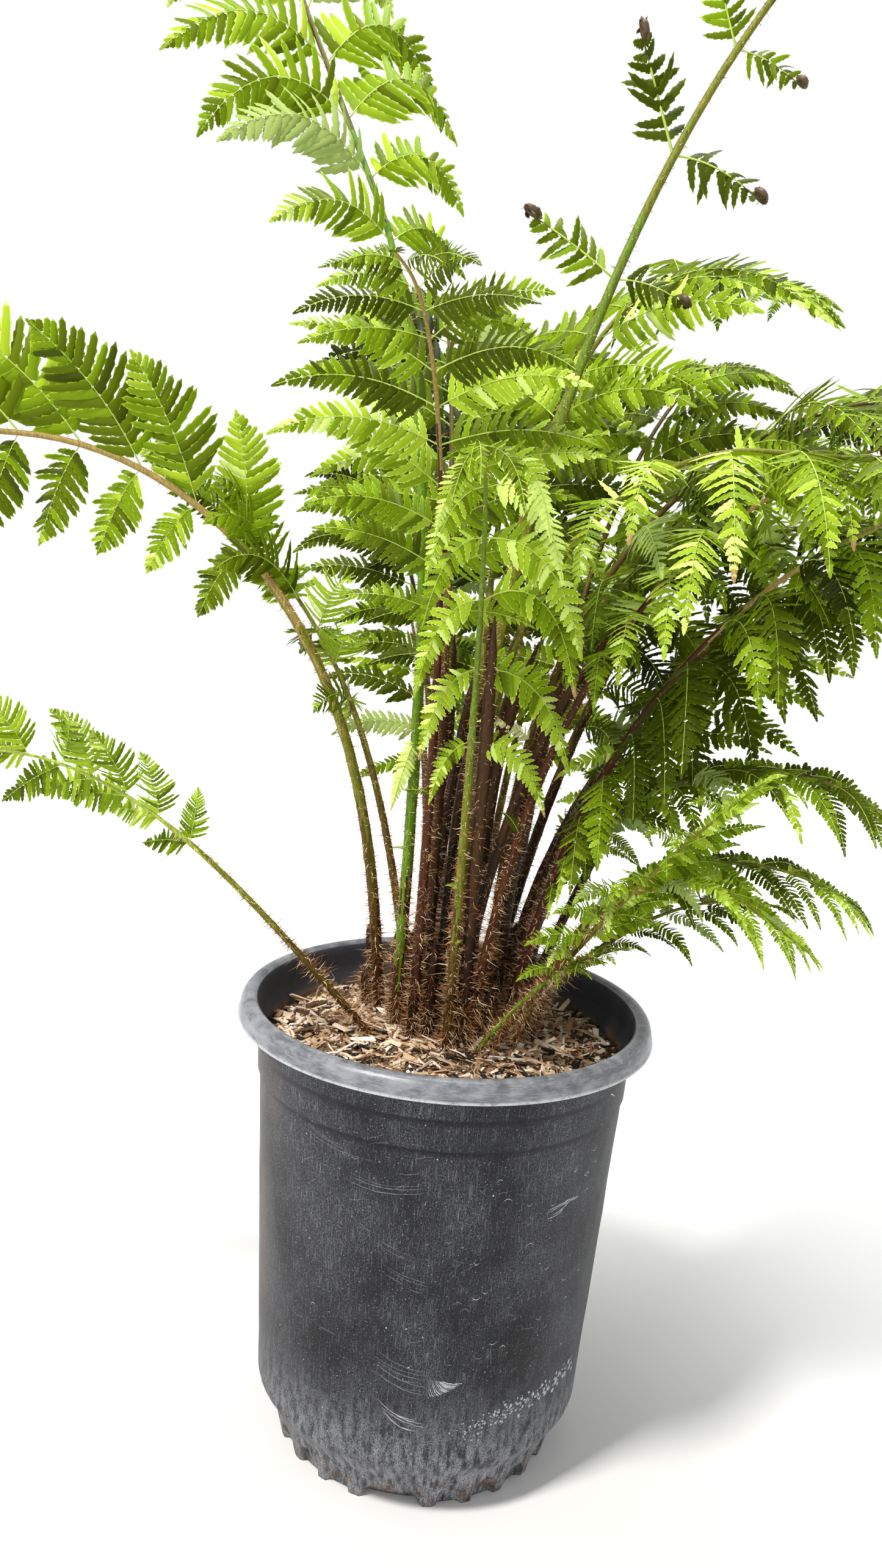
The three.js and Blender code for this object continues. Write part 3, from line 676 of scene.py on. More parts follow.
def make_lights():
    middle = (0, 0, 0.65)
    add_light("key", (-1.2, -1.2, 2.9), middle, 0.45, 110, (1, 0.97, 0.92))
    add_light("top", (0.3, 0.5, 3.0), middle, 1.0, 70)


def make_camera():
    """A camera fitted to the pot's outline in the photograph."""
    turned_by, pitched, rolled = (math.radians(angle) for angle in CAMERA_ANGLES)
    way = Vector((math.sin(turned_by) * math.cos(pitched), math.cos(turned_by) * math.cos(pitched),
                  -math.sin(pitched)))
    level = Vector((math.cos(turned_by), -math.sin(turned_by), 0))
    right, up = turned(level, level.cross(way), rolled)
    data = bpy.data.cameras.new("camera")
    data.sensor_width = 36
    data.lens = FOCAL_PIXELS / max(PHOTO_PIXELS) * data.sensor_width
    data.clip_start = 0.05
    camera = bpy.data.objects.new("camera", data)
    turn = Matrix((right, up, -way)).transposed()
    camera.matrix_world = Matrix.Translation(CAMERA_PLACE) @ turn.to_4x4()
    bpy.context.collection.objects.link(camera)
    bpy.context.scene.camera = camera


def wall_radius(height):
    """Outer radius of the pot's wall, steps and foot included."""
    rise = (height - FOOT_HEIGHT) / (UNDER_RIM - FOOT_HEIGHT)
    body = FOOT_RADIUS + (NECK_RADIUS - FOOT_RADIUS) * rise
    for depth in STEP_DEPTHS:
        body = body + STEP_SIZE * smooth_step((height - (UNDER_RIM - depth - 1.5)) / 2)
    bevel = np.interp(height, (0, FOOT_BEVEL_HEIGHT, FOOT_HEIGHT - 2),
                      (BASE_RADIUS, FOOT_BEVEL_RADIUS, FOOT_RADIUS - 0.6))
    return np.where(height > FOOT_HEIGHT - 2, body, bevel)


def foot_press(angle, height):
    """How far the coves and the flat panels press in the foot, and how far an arch lifts its edge."""
    in_quarter = np.mod(angle - FOOT_TURN, QUARTER_ANGLE)
    cove = np.mod(in_quarter, SCALLOP_ANGLE) - SCALLOP_ANGLE / 2
    inside = 1 - (cove / COVE_HALF_ANGLE) ** 2 - (height / COVE_HEIGHT) ** 2
    depth = COVE_DEPTH * smooth_step(inside * COVE_STEEPNESS) * (in_quarter < SCALLOPED_ANGLE)
    from_middle = np.abs(in_quarter - (QUARTER_ANGLE + SCALLOPED_ANGLE) / 2)
    arch = smooth_step((ARCH_HALF_ANGLE - from_middle) / ARCH_EDGE_ANGLE)
    depth = depth + PANEL_PRESS * arch * np.clip(1 - height / FOOT_HEIGHT, 0, 1)
    return depth, arch


def wall_wobble(compass, height):
    """How far the wall bulges out or in here and there, between its foot and its rim."""
    turn = np.radians(compass)
    low = smooth_step((height - FOOT_HEIGHT) / WOBBLE_ENDS)
    high = smooth_step((POT_HEIGHT - WOBBLE_ENDS - height) / WOBBLE_ENDS)
    wobble = waves(round_axis(WOBBLE_RADIUS, turn, height).reshape(-1, 3), WOBBLE_SIZE, 3)
    return WALL_WOBBLE * wobble.reshape(turn.shape) * low * high


def pressed_radius(compass, height):
    """Radius of the wall with its coves, panels and wobble."""
    return wall_radius(height) - foot_press(compass, height)[0] + wall_wobble(compass, height)


def wall_points(angle, height):
    """Points just proud of the pot's wall, at compass angles from its front, in degrees."""
    compass = angle - 90
    return round_axis(pressed_radius(compass, height) + MARK_PROUD, np.radians(compass), height)


def unrolled(shader, radius):
    """Distance round the pot from its front and height, as a vector, and the height alone."""
    axes = shader.axes(shader.spot)
    turn = shader.maths("ARCTAN2", axes[0], shader.times(axes[1], -1))
    around = shader.times(turn, radius * MM)
    return shader.node("ShaderNodeCombineXYZ", {"X": around, "Y": axes[2]}).outputs[0], axes[2]


def wall_material():
    """Black plastic: streaks and a film of dust, a dusty foot, painted shade under the steps and brown
    stains.
    """
    wall = Shader("pot_wall", 0.5, 0.16)
    flat, height = unrolled(wall, FOOT_RADIUS)
    streaks = wall.noise(flat, 1100, 3, 0.7, (1, 0.07, 1))
    grain = wall.noise(flat, 1500, 3, 0.7, (1, 0.45, 1))
    patches = wall.noise(flat, 18, 6, 0.6, (1, 0.7, 1))
    blotches = wall.noise(flat, 75, 6, 0.72)
    spots = wall.noise(flat, 900, 1, 0.5)
    washed = wall.noise(flat, 210, 6, 0.75, (1, 0.3, 1))

    streaky = wall.times(wall.span(streaks, 0.5, 0.74), wall.span(patches, 0.36, 0.7, 0.25, 1))
    film = wall.times(wall.span(grain, 0.44, 0.66), wall.span(patches, 0.35, 0.65, 0.06, 0.36))
    foot = wall.times(wall.span(height, 0.12, 0.01), wall.span(washed, 0.36, 0.6))
    foot = wall.times(foot, wall.span(grain, 0.34, 0.56))
    dust = wall.most(wall.most(wall.times(streaky, 0.75), film), foot)
    base = wall.mix(wall.span(patches, 0.3, 0.7), 0x0E0F13, 0x1E1F25)
    base = wall.mix(wall.times(dust, wall.span(height, 0.16, 0.02, 0.74, 0.95)), base, 0xA3A5AA)
    base = wall.mix(wall.times(wall.span(spots, 0.68, 0.73), 0.6), base, 0xA5A7AB)
    # Painted shade: a near-black band at and just under each step, where the wider wall above overhangs.
    for depth in STEP_DEPTHS:
        edge = (UNDER_RIM - depth) * MM
        step_shade = wall.times(wall.span(height, edge - 0.006, edge - 0.001),
                           wall.span(height, edge + 0.002, edge - 0.0005))
        base = wall.mix(wall.times(step_shade, 0.75), base, 0x0E0E11)

    stained = wall.times(wall.span(patches, 0.42, 0.6), 0.5)
    rusty = wall.times(wall.span(wall.axes(wall.spot)[0], -0.096, -0.122), stained)
    muddy = wall.times(wall.span(height, 0.028, 0.006), wall.span(blotches, 0.48, 0.6))
    wall.colour(wall.mix(wall.times(wall.most(rusty, muddy), 0.55), base, 0x7A5A40))
    wall.put(wall.surface.inputs["Roughness"], wall.span(dust, 0, 0.7, 0.4, 0.75))
    relief = wall.plus(wall.times(streaks, 0.6), grain)
    wall.bump(wall.plus(relief, wall.times(blotches, 1.5)), 0.0005, 0.4)
    return wall.material


def rim_material():
    """Grey rubbed plastic, brushed lengthways and pale at its lower edge."""
    rim = Shader("pot_rim", 0.34)
    flat, height = unrolled(rim, RIM_RADIUS)
    brushed = rim.noise(flat, 1600, 3, 0.6, (0.06, 1, 1))
    rubbed = rim.noise(flat, 120, 5, 0.65, (0.4, 1, 1))
    worn = rim.noise(flat, 420, 4, 0.7)
    edge = rim.times(rim.span(height, 0.3072, 0.3054), rim.span(worn, 0.3, 0.5))
    base = rim.mix(rim.span(rubbed, 0.36, 0.66), 0x505258, 0x82858B)
    base = rim.mix(rim.times(rim.span(brushed, 0.5, 0.75), 0.6), base, 0x9C9FA5)
    rim.colour(rim.mix(rim.times(edge, 0.6), base, 0xD2D3D4))
    rim.bump(rim.plus(brushed, worn), 0.0003, 0.3)
    return rim.material


def inside_material():
    """Dull plastic that is soiled down at the mulch."""
    inner = Shader("pot_inside", 0.7, 0.2)
    flat, height = unrolled(inner, NECK_RADIUS)
    soiled = inner.noise(flat, 40, 6, 0.68)
    low = inner.plus(inner.span(height, 0.293, 0.287), 0.06, clamp=True)
    inner.colour(inner.mix(inner.times(inner.span(soiled, 0.4, 0.6), low), 0x383B42, 0x6A5240))
    inner.bump(soiled, 0.0008, 0.4)
    return inner.material


def make_pot():
    """The pot as rings of points from under its foot, up its wall, round its rim and down inside."""
    angle = np.arange(POT_SIDES) * 360 / POT_SIDES
    arch = foot_press(angle, 0)[1]
    heights = np.concatenate([
        np.linspace(0, FOOT_BEVEL_HEIGHT, 15),
        np.linspace(FOOT_BEVEL_HEIGHT + 2, FOOT_HEIGHT + 6, 9),
        np.linspace(FOOT_HEIGHT + 14, UNDER_RIM - STEP_DEPTHS[1] - 3, 16),
        UNDER_RIM - STEP_DEPTHS[1] + np.array([-1.5, -1, -0.5, 0, 0.6]),
        UNDER_RIM - STEP_DEPTHS[0] + np.array([-8, -1.5, -1, -0.5, 0, 0.6, 8]),
        [UNDER_RIM],
    ])
    wall = []
    for height in heights:
        lift = arch * DRAIN_HEIGHT * max(0, 1 - height / FOOT_BEVEL_HEIGHT)
        wall.append((pressed_radius(angle, height), height + lift))
    wall.append((NECK_RADIUS + 2 * STEP_SIZE + 2, UNDER_RIM - 0.2))
    # Each stretch of the section, and the slot of its material
    sections = ((UNDERSIDE_SECTION, 2), (wall, 0), (RIM_SECTION, 1), (INSIDE_SECTION, 2))
    rings = [round_axis(radius, np.radians(angle), height)
             for section, _ in sections for radius, height in section]
    slots = [slot for section, slot in sections for _ in section]
    heap = Heap()
    heap.add(np.concatenate(rings), grid_faces(len(rings), POT_SIDES, True),
             np.repeat(slots[1:], POT_SIDES))
    materials = [wall_material(), rim_material(), inside_material()]
    place(heap.build("pot_body", materials), "pot_plastic", ["pot"])


def add_line(heap, start, end, bow, width, slot, random):
    """A thin worn line on the pot's wall that swells and thins along its way."""
    along = np.linspace(0, 1, LINE_STEPS)
    swell = np.sin(math.pi * along)
    angle = start[0] + (end[0] - start[0]) * along
    height = start[1] + (end[1] - start[1]) * along + bow * swell
    height = height + random.normal(0, 0.12, LINE_STEPS)
    half = width / 2 * swell ** 0.5 * random.uniform(0.4, 1.1, LINE_STEPS)
    edges = [wall_points(angle, height + side * half) for side in (-1, 1)]
    heap.add(np.stack(edges, 1).reshape(-1, 3), grid_faces(LINE_STEPS, 2, False), slot)


def add_specks(heap, angles, heights, sizes, slots, random):
    """Small irregular spots on the pot's wall."""
    turn = np.arange(SPECK_CORNERS) * math.tau / SPECK_CORNERS
    reach = sizes[:, None] * random.uniform(0.45, 1.1, (len(sizes), SPECK_CORNERS))
    around = reach * np.cos(turn) * math.degrees(1 / FOOT_RADIUS)
    points = wall_points(angles[:, None] + around, heights[:, None] + reach * np.sin(turn))
    heap.add_many(points, np.array([(0, i, i + 1) for i in range(1, SPECK_CORNERS - 1)]), slots)


def add_scratches(heap, random):
    """Bundles of long scratches, each line a little off the course of the others."""
    for start, end, bow, lines, spacing, width, bright in SCRATCHES:
        for line in range(lines):
            drop = (line - (lines - 1) / 2) * spacing
            shift = random.uniform(-2, 2, 2)
            add_line(heap, (start[0] + shift[0], start[1] - drop), (end[0] + shift[1], end[1] - drop),
                     bow * random.uniform(0.7, 1.3), width * random.uniform(0.5, 1.2), int(not bright),
                     random)


def add_chip(heap, random):
    """A scuffed chip: a fan of bowed ridges."""
    for ridge in range(CHIP_RIDGES):
        part = ridge / (CHIP_RIDGES - 1)
        start = (CHIP_PLACE[0] - 5 + 4.2 * part, CHIP_PLACE[1] + 7 - 1.5 * part)
        end = (CHIP_PLACE[0] - 3.4 + 9.5 * part, CHIP_PLACE[1] - 6 + 9.5 * part ** 1.5)
        add_line(heap, start, end, -2.6 * (1 - part) - 1.2, 1.3, int(ridge % 3 == 2), random)


def add_nicks(heap, random):
    """Short bowed nicks, most of them on the right of the pot's front."""
    for _ in range(NICKS):
        angle, height = random.uniform(-55, 62), random.uniform(95, 262)
        if random.random() < 0.7:
            angle, height = random.uniform(8, 60), random.uniform(120, 262)
        across, drop = random.uniform(0.8, 1.6), random.uniform(-1.6, 1.6)
        bow = random.choice([-1, -1, 1]) * random.uniform(1.2, 2.4)
        add_line(heap, (angle - across, height), (angle + across, height + drop), bow, 0.6,
                 int(random.random() < 0.5), random)


def add_fine_scratches(heap, random):
    """Faint single scratches all round the pot."""
    for _ in range(FINE_SCRATCHES):
        angle, height = random.uniform(-180, 180), random.uniform(30, 275)
        run, drop = random.uniform(2, 8), random.uniform(-9, 9)
        bow = random.uniform(-1, 1)
        add_line(heap, (angle, height), (angle + run, height + drop), bow, 0.4, 1, random)


def add_dust(heap, random):
    """Specks of dust all round the pot, denser towards its foot."""
    heights = 12 + 285 * random.random(SPECKS) ** 1.5
    angles = random.uniform(-180, 180, SPECKS)
    sizes = random.uniform(0.2, 0.75, SPECKS)
    faint = random.random(SPECKS) < 0.7
    add_specks(heap, angles, heights, sizes, faint.astype(int), random)


def add_splash(heap, random):
    """Specks of a dried splash, smaller towards its end."""
    share = random.random(SPLASH_SPECKS)
    stops = np.linspace(0, 1, len(SPLASH))
    angle_stops, height_stops = zip(*SPLASH)
    angles = np.interp(share, stops, angle_stops) + random.normal(0, 2.2, SPLASH_SPECKS)
    heights = np.interp(share, stops, height_stops) + random.normal(0, 3.6, SPLASH_SPECKS)
    sizes = random.uniform(0.3, 1.7, SPLASH_SPECKS) * (1.25 - 0.7 * share)
    faint = random.random(SPLASH_SPECKS) < 0.35
    add_specks(heap, angles, heights, sizes, faint.astype(int), random)


def make_pot_marks():
    random = np.random.default_rng(SEED)
    heap = Heap()
    for add_marks in (add_scratches, add_chip, add_nicks, add_fine_scratches, add_dust, add_splash):
        add_marks(heap, random)
    materials = [grainy(name, colour, 0.6, 0.75, 900) for name, colour in SCUFF_TINTS.items()]
    place(heap.build("pot_marks", materials), "pot_plastic")


def on_mulch(spots, above=0):
    """Spots at height 0, lifted onto the mulch: level at the wall, a low mound and small heaps."""
    radius = np.hypot(spots[..., 0], spots[..., 1])
    mound = (SOIL_MOUND + 5) * smooth_step((MULCH_RADIUS - 12 - radius) / 75)
    flat = spots.reshape(-1, 3)
    lumps = 1.6 * waves(flat, 34, 5) + 0.7 * waves(flat, 9, 6)
    return spots + UP * (SOIL_LEVEL + 2 + mound + lumps.reshape(radius.shape) + above)[..., None]


def scatter(count, random, reach=MULCH_RADIUS - 4):
    """Spots at height 0, spread evenly over a disc."""
    radius = reach * np.sqrt(random.random(count))
    return round_axis(radius, random.uniform(0, math.tau, count))


def lie(count, pitch, random):
    """Axes of things that lie on the mulch: a way, a way across it and an upper side."""
    turn = random.uniform(0, math.tau, count)
    tilt = np.radians(random.normal(0, pitch, count))
    roll = np.radians(random.normal(0, 28, count))
    way = round_axis(np.cos(tilt), turn, np.sin(tilt))
    flat = round_axis(1, turn + math.pi / 2)
    return way, *turned(flat, np.cross(way, flat), roll[:, None])


def make_mulch_bed():
    """The ground between the chips, turned down at the pot's wall."""
    ground = Shader("mulch_ground", 0.95)
    coarse, fine = ground.noise(ground.spot, 180, 6, 0.75), ground.noise(ground.spot, 900, 3, 0.7)
    base = ground.mix(ground.span(coarse, 0.35, 0.65), 0x1E1008, 0x705034)
    ground.colour(ground.mix(ground.span(fine, 0.5, 0.7), base, 0xB5946F))
    ground.bump(ground.plus(coarse, fine), 0.0025, 0.9)
    radius = np.linspace(0, MULCH_RADIUS, MULCH_RINGS)[:, None]
    turn = np.arange(MULCH_SIDES) * math.tau / MULCH_SIDES
    top = on_mulch(round_axis(radius, turn)).reshape(-1, 3)
    rim = round_axis(MULCH_RADIUS, turn, SOIL_LEVEL - 8)
    heap = Heap()
    heap.add(np.concatenate([top, rim]), grid_faces(MULCH_RINGS + 1, MULCH_SIDES, True), 0)
    place(heap.build("mulch_bed", [ground.material]), "potting_soil", ["soil"])


def chip_shape():
    """Corners and quads of a tapered splinter, one unit long, wide and thick."""
    ends = np.array([(-0.5, 0.5, 0.35), (-0.5, -0.4, 0.5), (-0.5, -0.5, -0.5), (-0.5, 0.45, -0.4),
                     (0.5, 0.3, 0.25), (0.45, -0.35, 0.3), (0.5, -0.3, -0.35), (0.4, 0.35, -0.3)])
    sides = [(i, i + 4, (i + 1) % 4 + 4, (i + 1) % 4) for i in range(4)]
    quads = np.array([(0, 1, 2, 3), (7, 6, 5, 4), *sides])
    return ends, quads


def make_chips(bark, random):
    """Bark chips, a few large ones, and crumbs."""
    heap = Heap()
    shape, quads = chip_shape()
    for count, *ranges in CHIP_SIZES:
        spots = scatter(count, random)
        axes = np.stack(lie(count, 16, random), 1)
        size = np.stack([random.uniform(*limits, count) for limits in ranges], -1)
        local = shape * size[:, None] * random.uniform(0.75, 1.2, (count, len(shape), 3))
        centre = on_mulch(spots, random.uniform(-0.4, 1.6, count))
        heap.add_many(centre[:, None] + local @ axes, quads,
                      random.choice(len(CHIP_TINTS), count, p=CHIP_SHARES))
    place(heap.build("mulch_chips", bark, smooth=False), "potting_soil")


def small_ball():
    """Corners and triangles of an icosahedron."""
    golden = (1 + 5 ** 0.5) / 2
    corners = np.array([np.roll((x, y, 0), turn) for turn in range(3) for y in (golden, -golden)
                        for x in (-1, 1)])
    triangles = []
    for triangle in itertools.combinations(range(len(corners)), 3):
        spots = corners[list(triangle)]
        if np.allclose(np.linalg.norm(spots - np.roll(spots, 1, 0), axis=1), 2):
            triangles.append(triangle if np.linalg.det(spots) > 0 else triangle[::-1])
    return unit(corners), np.array(triangles)


def make_beads(random):
    """White beads of perlite that lie on the mulch."""
    white = Shader("perlite", 0.8)
    white.colour(0xE9EAE8)
    white.bump(white.noise(white.spot, 1500, 4), 0.0006, 0.8)
    spots = scatter(PERLITE, random)
    ball, triangles = small_ball()
    sizes = random.uniform(0.8, 2.0, PERLITE)[:, None, None]
    lumpy = ball * sizes * random.uniform(0.75, 1.25, (PERLITE, len(ball), 1))
    heap = Heap()
    heap.add_many(on_mulch(spots, 1.1)[:, None] + lumpy, triangles, 0)
    place(heap.build("perlite_beads", [white.material]), "potting_soil")


def make_fibres(bark, random):
    """Fine roots and a few twigs that lie on the mulch."""
    heap = Heap()
    step = np.linspace(-0.5, 0.5, 9)
    for count, limits, radius in FIBRE_SIZES:
        spots = scatter(count, random, MULCH_RADIUS - 30)
        way, across, upper = (axis[:, None] for axis in lie(count, 9, random))
        length = random.uniform(*limits, count)[:, None]
        bend = random.normal(0, 0.3, (count, 1)) * length
        ripple = random.normal(0, 0.04, (count, 1)) * length
        sideways = bend * step ** 2 + ripple * np.sin(step * 14)
        centre = (on_mulch(spots, 2.2)[:, None] + way * (length * step)[..., None]
                  + across * sideways[..., None])
        thick = radius * random.uniform(0.6, 1.3, (count, 1)) * (1 - 0.7 * np.abs(step * 2) ** 3)
        points, faces = tubes(centre, across, upper, thick, 4)
        heap.add_many(points, faces, random.choice([1, 2, 4], count))
    place(heap.build("mulch_fibres", bark), "potting_soil")


def make_mulch():
    random = np.random.default_rng(SEED + 1)
    bark = [grainy(f"bark_{i}", colour, 0.62, 0.88, 1100, relief=0.0006)
            for i, colour in enumerate(CHIP_TINTS)]
    make_mulch_bed()
    make_chips(bark, random)
    make_beads(random)
    make_fibres(bark, random)


def make_crown():
    """The matted foot of the clump: a low lumpy dome between the stalks."""
    shader = Shader("crown_fibre", 0.9)
    strands = shader.noise(shader.spot, 500, 5, 0.7, (1, 1, 0.2))
    shader.colour(shader.mix(shader.span(strands, 0.35, 0.65), 0x24120A, 0x6A452C))
    shader.bump(strands, 0.003)
    share = np.linspace(0, 1, CROWN_RINGS)[:, None]
    turn = np.arange(CROWN_SIDES) * math.tau / CROWN_SIDES
    flat = round_axis(share * (CROWN_RADIUS - 2), turn)
    lumps = 3 * waves(flat.reshape(-1, 3), 22, 8).reshape(flat.shape[:2])
    height = SOIL_LEVEL + CROWN_HEIGHT + 3 - (CROWN_HEIGHT + 6) * share ** 4 + lumps
    heap = Heap()
    heap.add((flat + UP * height[..., None]).reshape(-1, 3),
             grid_faces(CROWN_RINGS, CROWN_SIDES, True), 0)
    place(heap.build("crown_mat", [shader.material]), "crown_fibre", ["crown_stem"])


def at_share(points, share):
    """The points at some shares of lines that are (..., steps + 1, 3) points."""
    steps = points.shape[-2] - 1
    place = np.clip(share, 0, 1) * steps
    whole = np.minimum(place.astype(int), steps - 1)
    part = (place - whole)[:, None]
    return points[..., whole, :] * (1 - part) + points[..., whole + 1, :] * part


class Frond:
    """The source's rule for one frond: its spine, and the leaflets along it."""

    def __init__(self, index, name):
        self.index = index
        for column, value in zip(COLUMNS + LOOK_COLUMNS, FRONDS[name] + LOOKS[name]):
            setattr(self, column, value)
        self.compass = math.radians(self.toward)
        middles = (np.arange(SPINE_STEPS) + 0.5) / SPINE_STEPS
        steps = self.heading(middles) * self.length / SPINE_STEPS
        foot = np.array([self.x, self.y, SOIL_LEVEL + CROWN_HEIGHT + GAP])
        self.points = np.vstack([foot, foot + np.cumsum(steps, axis=0)])

    def heading(self, share):
        bent = self.bend * np.minimum(1, share / self.settled) ** self.arch
        curled = self.curl * np.maximum(0, (share - CURL_SHARE) / (1 - CURL_SHARE)) ** CURL_POWER
        tilt = np.radians(self.lean + bent + curled)
        return round_axis(np.sin(tilt), self.compass, np.cos(tilt))

    def along(self, share):
        """Centre of the spine, the way it runs, and the blade's side and upper face."""
        forward = self.heading(share)
        side = round_axis(1, self.compass + math.pi / 2)
        blade = turned(side, np.cross(forward, side), math.radians(self.roll))
        return at_share(self.points, share), forward, *blade

    def radius(self, share):
        taper = YOUNG_TAPER if self.curl else TAPER
        return self.foot * (1 - taper * share ** TAPER_POWER)

    def leaflet_roots(self):
        """Pair, hand, share of the frond's length and place in the blade of each leaflet."""
        bare = self.bare * self.early
        pairs = round(self.pairs * self.finer * (1 - bare) / (1 - self.bare))
        pair = np.repeat(np.arange(pairs), 2)
        hand = np.tile([1, -1], pairs)
        place = (pair + 0.5) / pairs
        leafy = (CURL_SHARE if self.curl else 1) - bare
        return pair, hand, bare + leafy * (1 - (1 - place) ** CROWDING), place


class OldStalk(Frond):
    """An old stalk, broken off at its top, that stands close beside a live one and follows it."""

    def __init__(self, frond, tall, random):
        vars(self).update(vars(frond))
        turn = random.uniform(0.1, math.pi - 0.1)
        apart = 2.1 * frond.foot + random.uniform(0, 8 if tall else 4)
        self.points = frond.points + (frond.points[0] - frond.points) * OLD_STALK_SHORTER
        self.points = self.points + round_axis(apart, turn)
        self.stalk_tone = "old"
        self.foot = random.uniform(3, 4.2)
        self.top = random.uniform(*(OLD_STALK_HEIGHTS if tall else STUB_HEIGHTS)) / frond.length

    def radius(self, share):
        return self.foot * (OLD_STALK_FLARE - (share / self.top) ** OLD_STALK_BLUNTNESS)


def stalk_slots(frond, shares, sides, random):
    """Slot of each quad of a stalk or rachis: tints that blend by chance, in streaks, along it."""
    names = list(STALK_TINTS)
    tone = [names.index(name) for name in STALK_TONES[frond.stalk_tone]]
    quads = len(shares) - 1
    middle = (shares[1:] + shares[:-1]) / 2
    stop = np.interp(middle, (0, frond.bare * 0.25, frond.bare * 0.55, frond.bare, 1), (0, 1, 2, 3, 5))
    streak = np.repeat(random.random((quads // 3 + 1, sides)), 3, axis=0)[:quads]
    whole = np.floor(stop[:, None] + streak * 0.9).astype(int)
    return np.array(tone)[np.clip(whole, 0, len(tone) - 1)].ravel()


def limb_tube(frond, shares, sides, relief, random):
    """A length of a frond's spine as a ribbed tube, and the quads' slots."""
    centre, _, side, upper = frond.along(shares)
    if shares[0] == 0:
        centre[0] -= UP * STALK_SUNK
    slimmer = 1 if frond.curl else RIB_SLIMMING
    radius = np.maximum(RIB_LEAST, frond.radius(shares) * np.where(shares > frond.bare, slimmer, 1))
    radius = radius[:, None]
    ways = ring_ways(side, upper, sides)
    spots = centre[:, None] + ways * radius[..., None]
    rough = waves(spots.reshape(-1, 3), 7, frond.index).reshape(len(shares), sides)
    if shares[-1] == 1:
        radius[-1] = 0.05
    turn = np.arange(sides) * math.tau / sides
    groove = 1 - GROOVE_DEPTH * np.exp(-((turn - math.pi / 2) / GROOVE_WIDTH) ** 2)
    points = centre[:, None] + ways * (radius * groove * (1 + relief * rough))[..., None]
    return (points.reshape(-1, 3), grid_faces(len(shares), sides, True),
            stalk_slots(frond, shares, sides, random))


def make_hairs(frond, heap, count, first, last, random):
    """Curly hairs that stand off a stretch of a frond's spine, thickest at its foot."""
    share = first + (last - first) * random.random(count) ** 1.5
    centre, forward, side, upper = frond.along(share)
    off = turned(side, upper, random.uniform(0, math.tau, count)[:, None])[0]
    start = centre + off * (frond.radius(share) * 0.95)[:, None]
    low = 1 - smooth_step((start[:, 2] - SOIL_LEVEL - 10) / WOOLLY_HEIGHT)
    length = (random.uniform(*HAIR_LENGTHS, count) * (0.75 + 1.1 * low))[:, None, None]
    step = np.linspace(0, 1, HAIR_STEPS)[None, :, None]
    stray = unit(random.normal(size=(count, 3)) + forward * random.choice([-0.6, 0.8], (count, 1)))
    curl = unit(random.normal(size=(count, 3)))
    centres = start[:, None] + length * (off[:, None] * step * (1 - 0.35 * step)
                                         + stray[:, None] * (0.75 * step ** 2)
                                         + curl[:, None] * (0.22 * np.sin(step * 5)))
    flat = unit(np.cross(off, stray))[:, None] * (HAIR_HALF_WIDTH * (1.05 - step))
    points = np.stack([centres - flat, centres + flat], 2).reshape(count, -1, 3)[:, :-1]
    heap.add_many(points, HAIR_FACES, random.choice(len(HAIR_TINTS), count, p=HAIR_SHARES))


def add_stubs(fronds, stalks, hairs, random):
    """Old stalks among the live ones, most of them broken off low."""
    steep = [name for name, frond in fronds.items() if frond.lean < STUB_LEAN]
    beside = [steep[i % len(steep)] for i in range(STUBS)] + list(OLD_STALKS_BY)
    for i, name in enumerate(beside):
        tall = i >= STUBS
        stub = OldStalk(fronds[name], tall, random)
        stalks.add(*limb_tube(stub, np.linspace(0, stub.top, 12), STALK_SIDES, 0.14, random))
        make_hairs(stub, hairs, HAIRS_PER_STUB * (3 if tall else 1), HAIRS_FROM, stub.top, random)


def stalk_material(name, colour):
    shader = Shader(name, 0.5, 0.2)
    streak = shader.noise(shader.spot, 900, stretch=(1, 1, 0.12))
    shader.colour(shader.mix(shader.span(streak, 0.35, 0.7), lit(colour, 0.6), colour))
    shader.bump(streak, 0.0005, 0.5)
    return shader.material


def make_limbs(fronds):
    """Bare stalks, the ribs of the blades, and the hairs on both."""
    skins = [stalk_material("stalk_" + name, colour) for name, colour in STALK_TINTS.items()]
    hair = [grainy(f"hair_{i}", colour, 0.7, 0.6, 500, 2) for i, colour in enumerate(HAIR_TINTS)]
    stalks, ribs, hairs, stub_hairs = Heap(), Heap(), Heap(), Heap()
    for frond in fronds.values():
        random = np.random.default_rng(SEED + 100 + frond.index)
        below, above = np.linspace(0, frond.bare, STALK_STEPS), np.linspace(frond.bare, 1, RACHIS_STEPS)
        stalks.add(*limb_tube(frond, below, STALK_SIDES, 0.07, random))
        ribs.add(*limb_tube(frond, above, RACHIS_SIDES, 0.04, random))
        count = int(HAIRS_PER_STALK * (frond.length * frond.bare / COMMON_STALK_LENGTH))
        make_hairs(frond, hairs, count, HAIRS_FROM, frond.bare, random)
        make_hairs(frond, hairs, HAIRS_PER_RACHIS * (3 if frond.curl else 1), frond.bare, 0.9, random)
    add_stubs(fronds, stalks, stub_hairs, np.random.default_rng(SEED + 3))
    place(stalks.build("stalks", skins), "stalk", [name + "_stalk" for name in fronds])
    place(ribs.build("blade_ribs", skins), "stalk")
    place(hairs.build("stalk_hairs", hair), "stalk")
    place(stub_hairs.build("stub_hairs", hair), "stalk")


def leaflet_shape(place):
    widening = np.sin(math.pi / 2 * np.minimum(1, place / WIDEST_AT))
    opening = SHORTEST_SHARE + (1 - SHORTEST_SHARE) * widening
    closing = 1 - (1 - TIP_SHARE) * (np.maximum(0, place - WIDEST_AT) / (1 - WIDEST_AT)) ** NARROWING
    return opening * closing


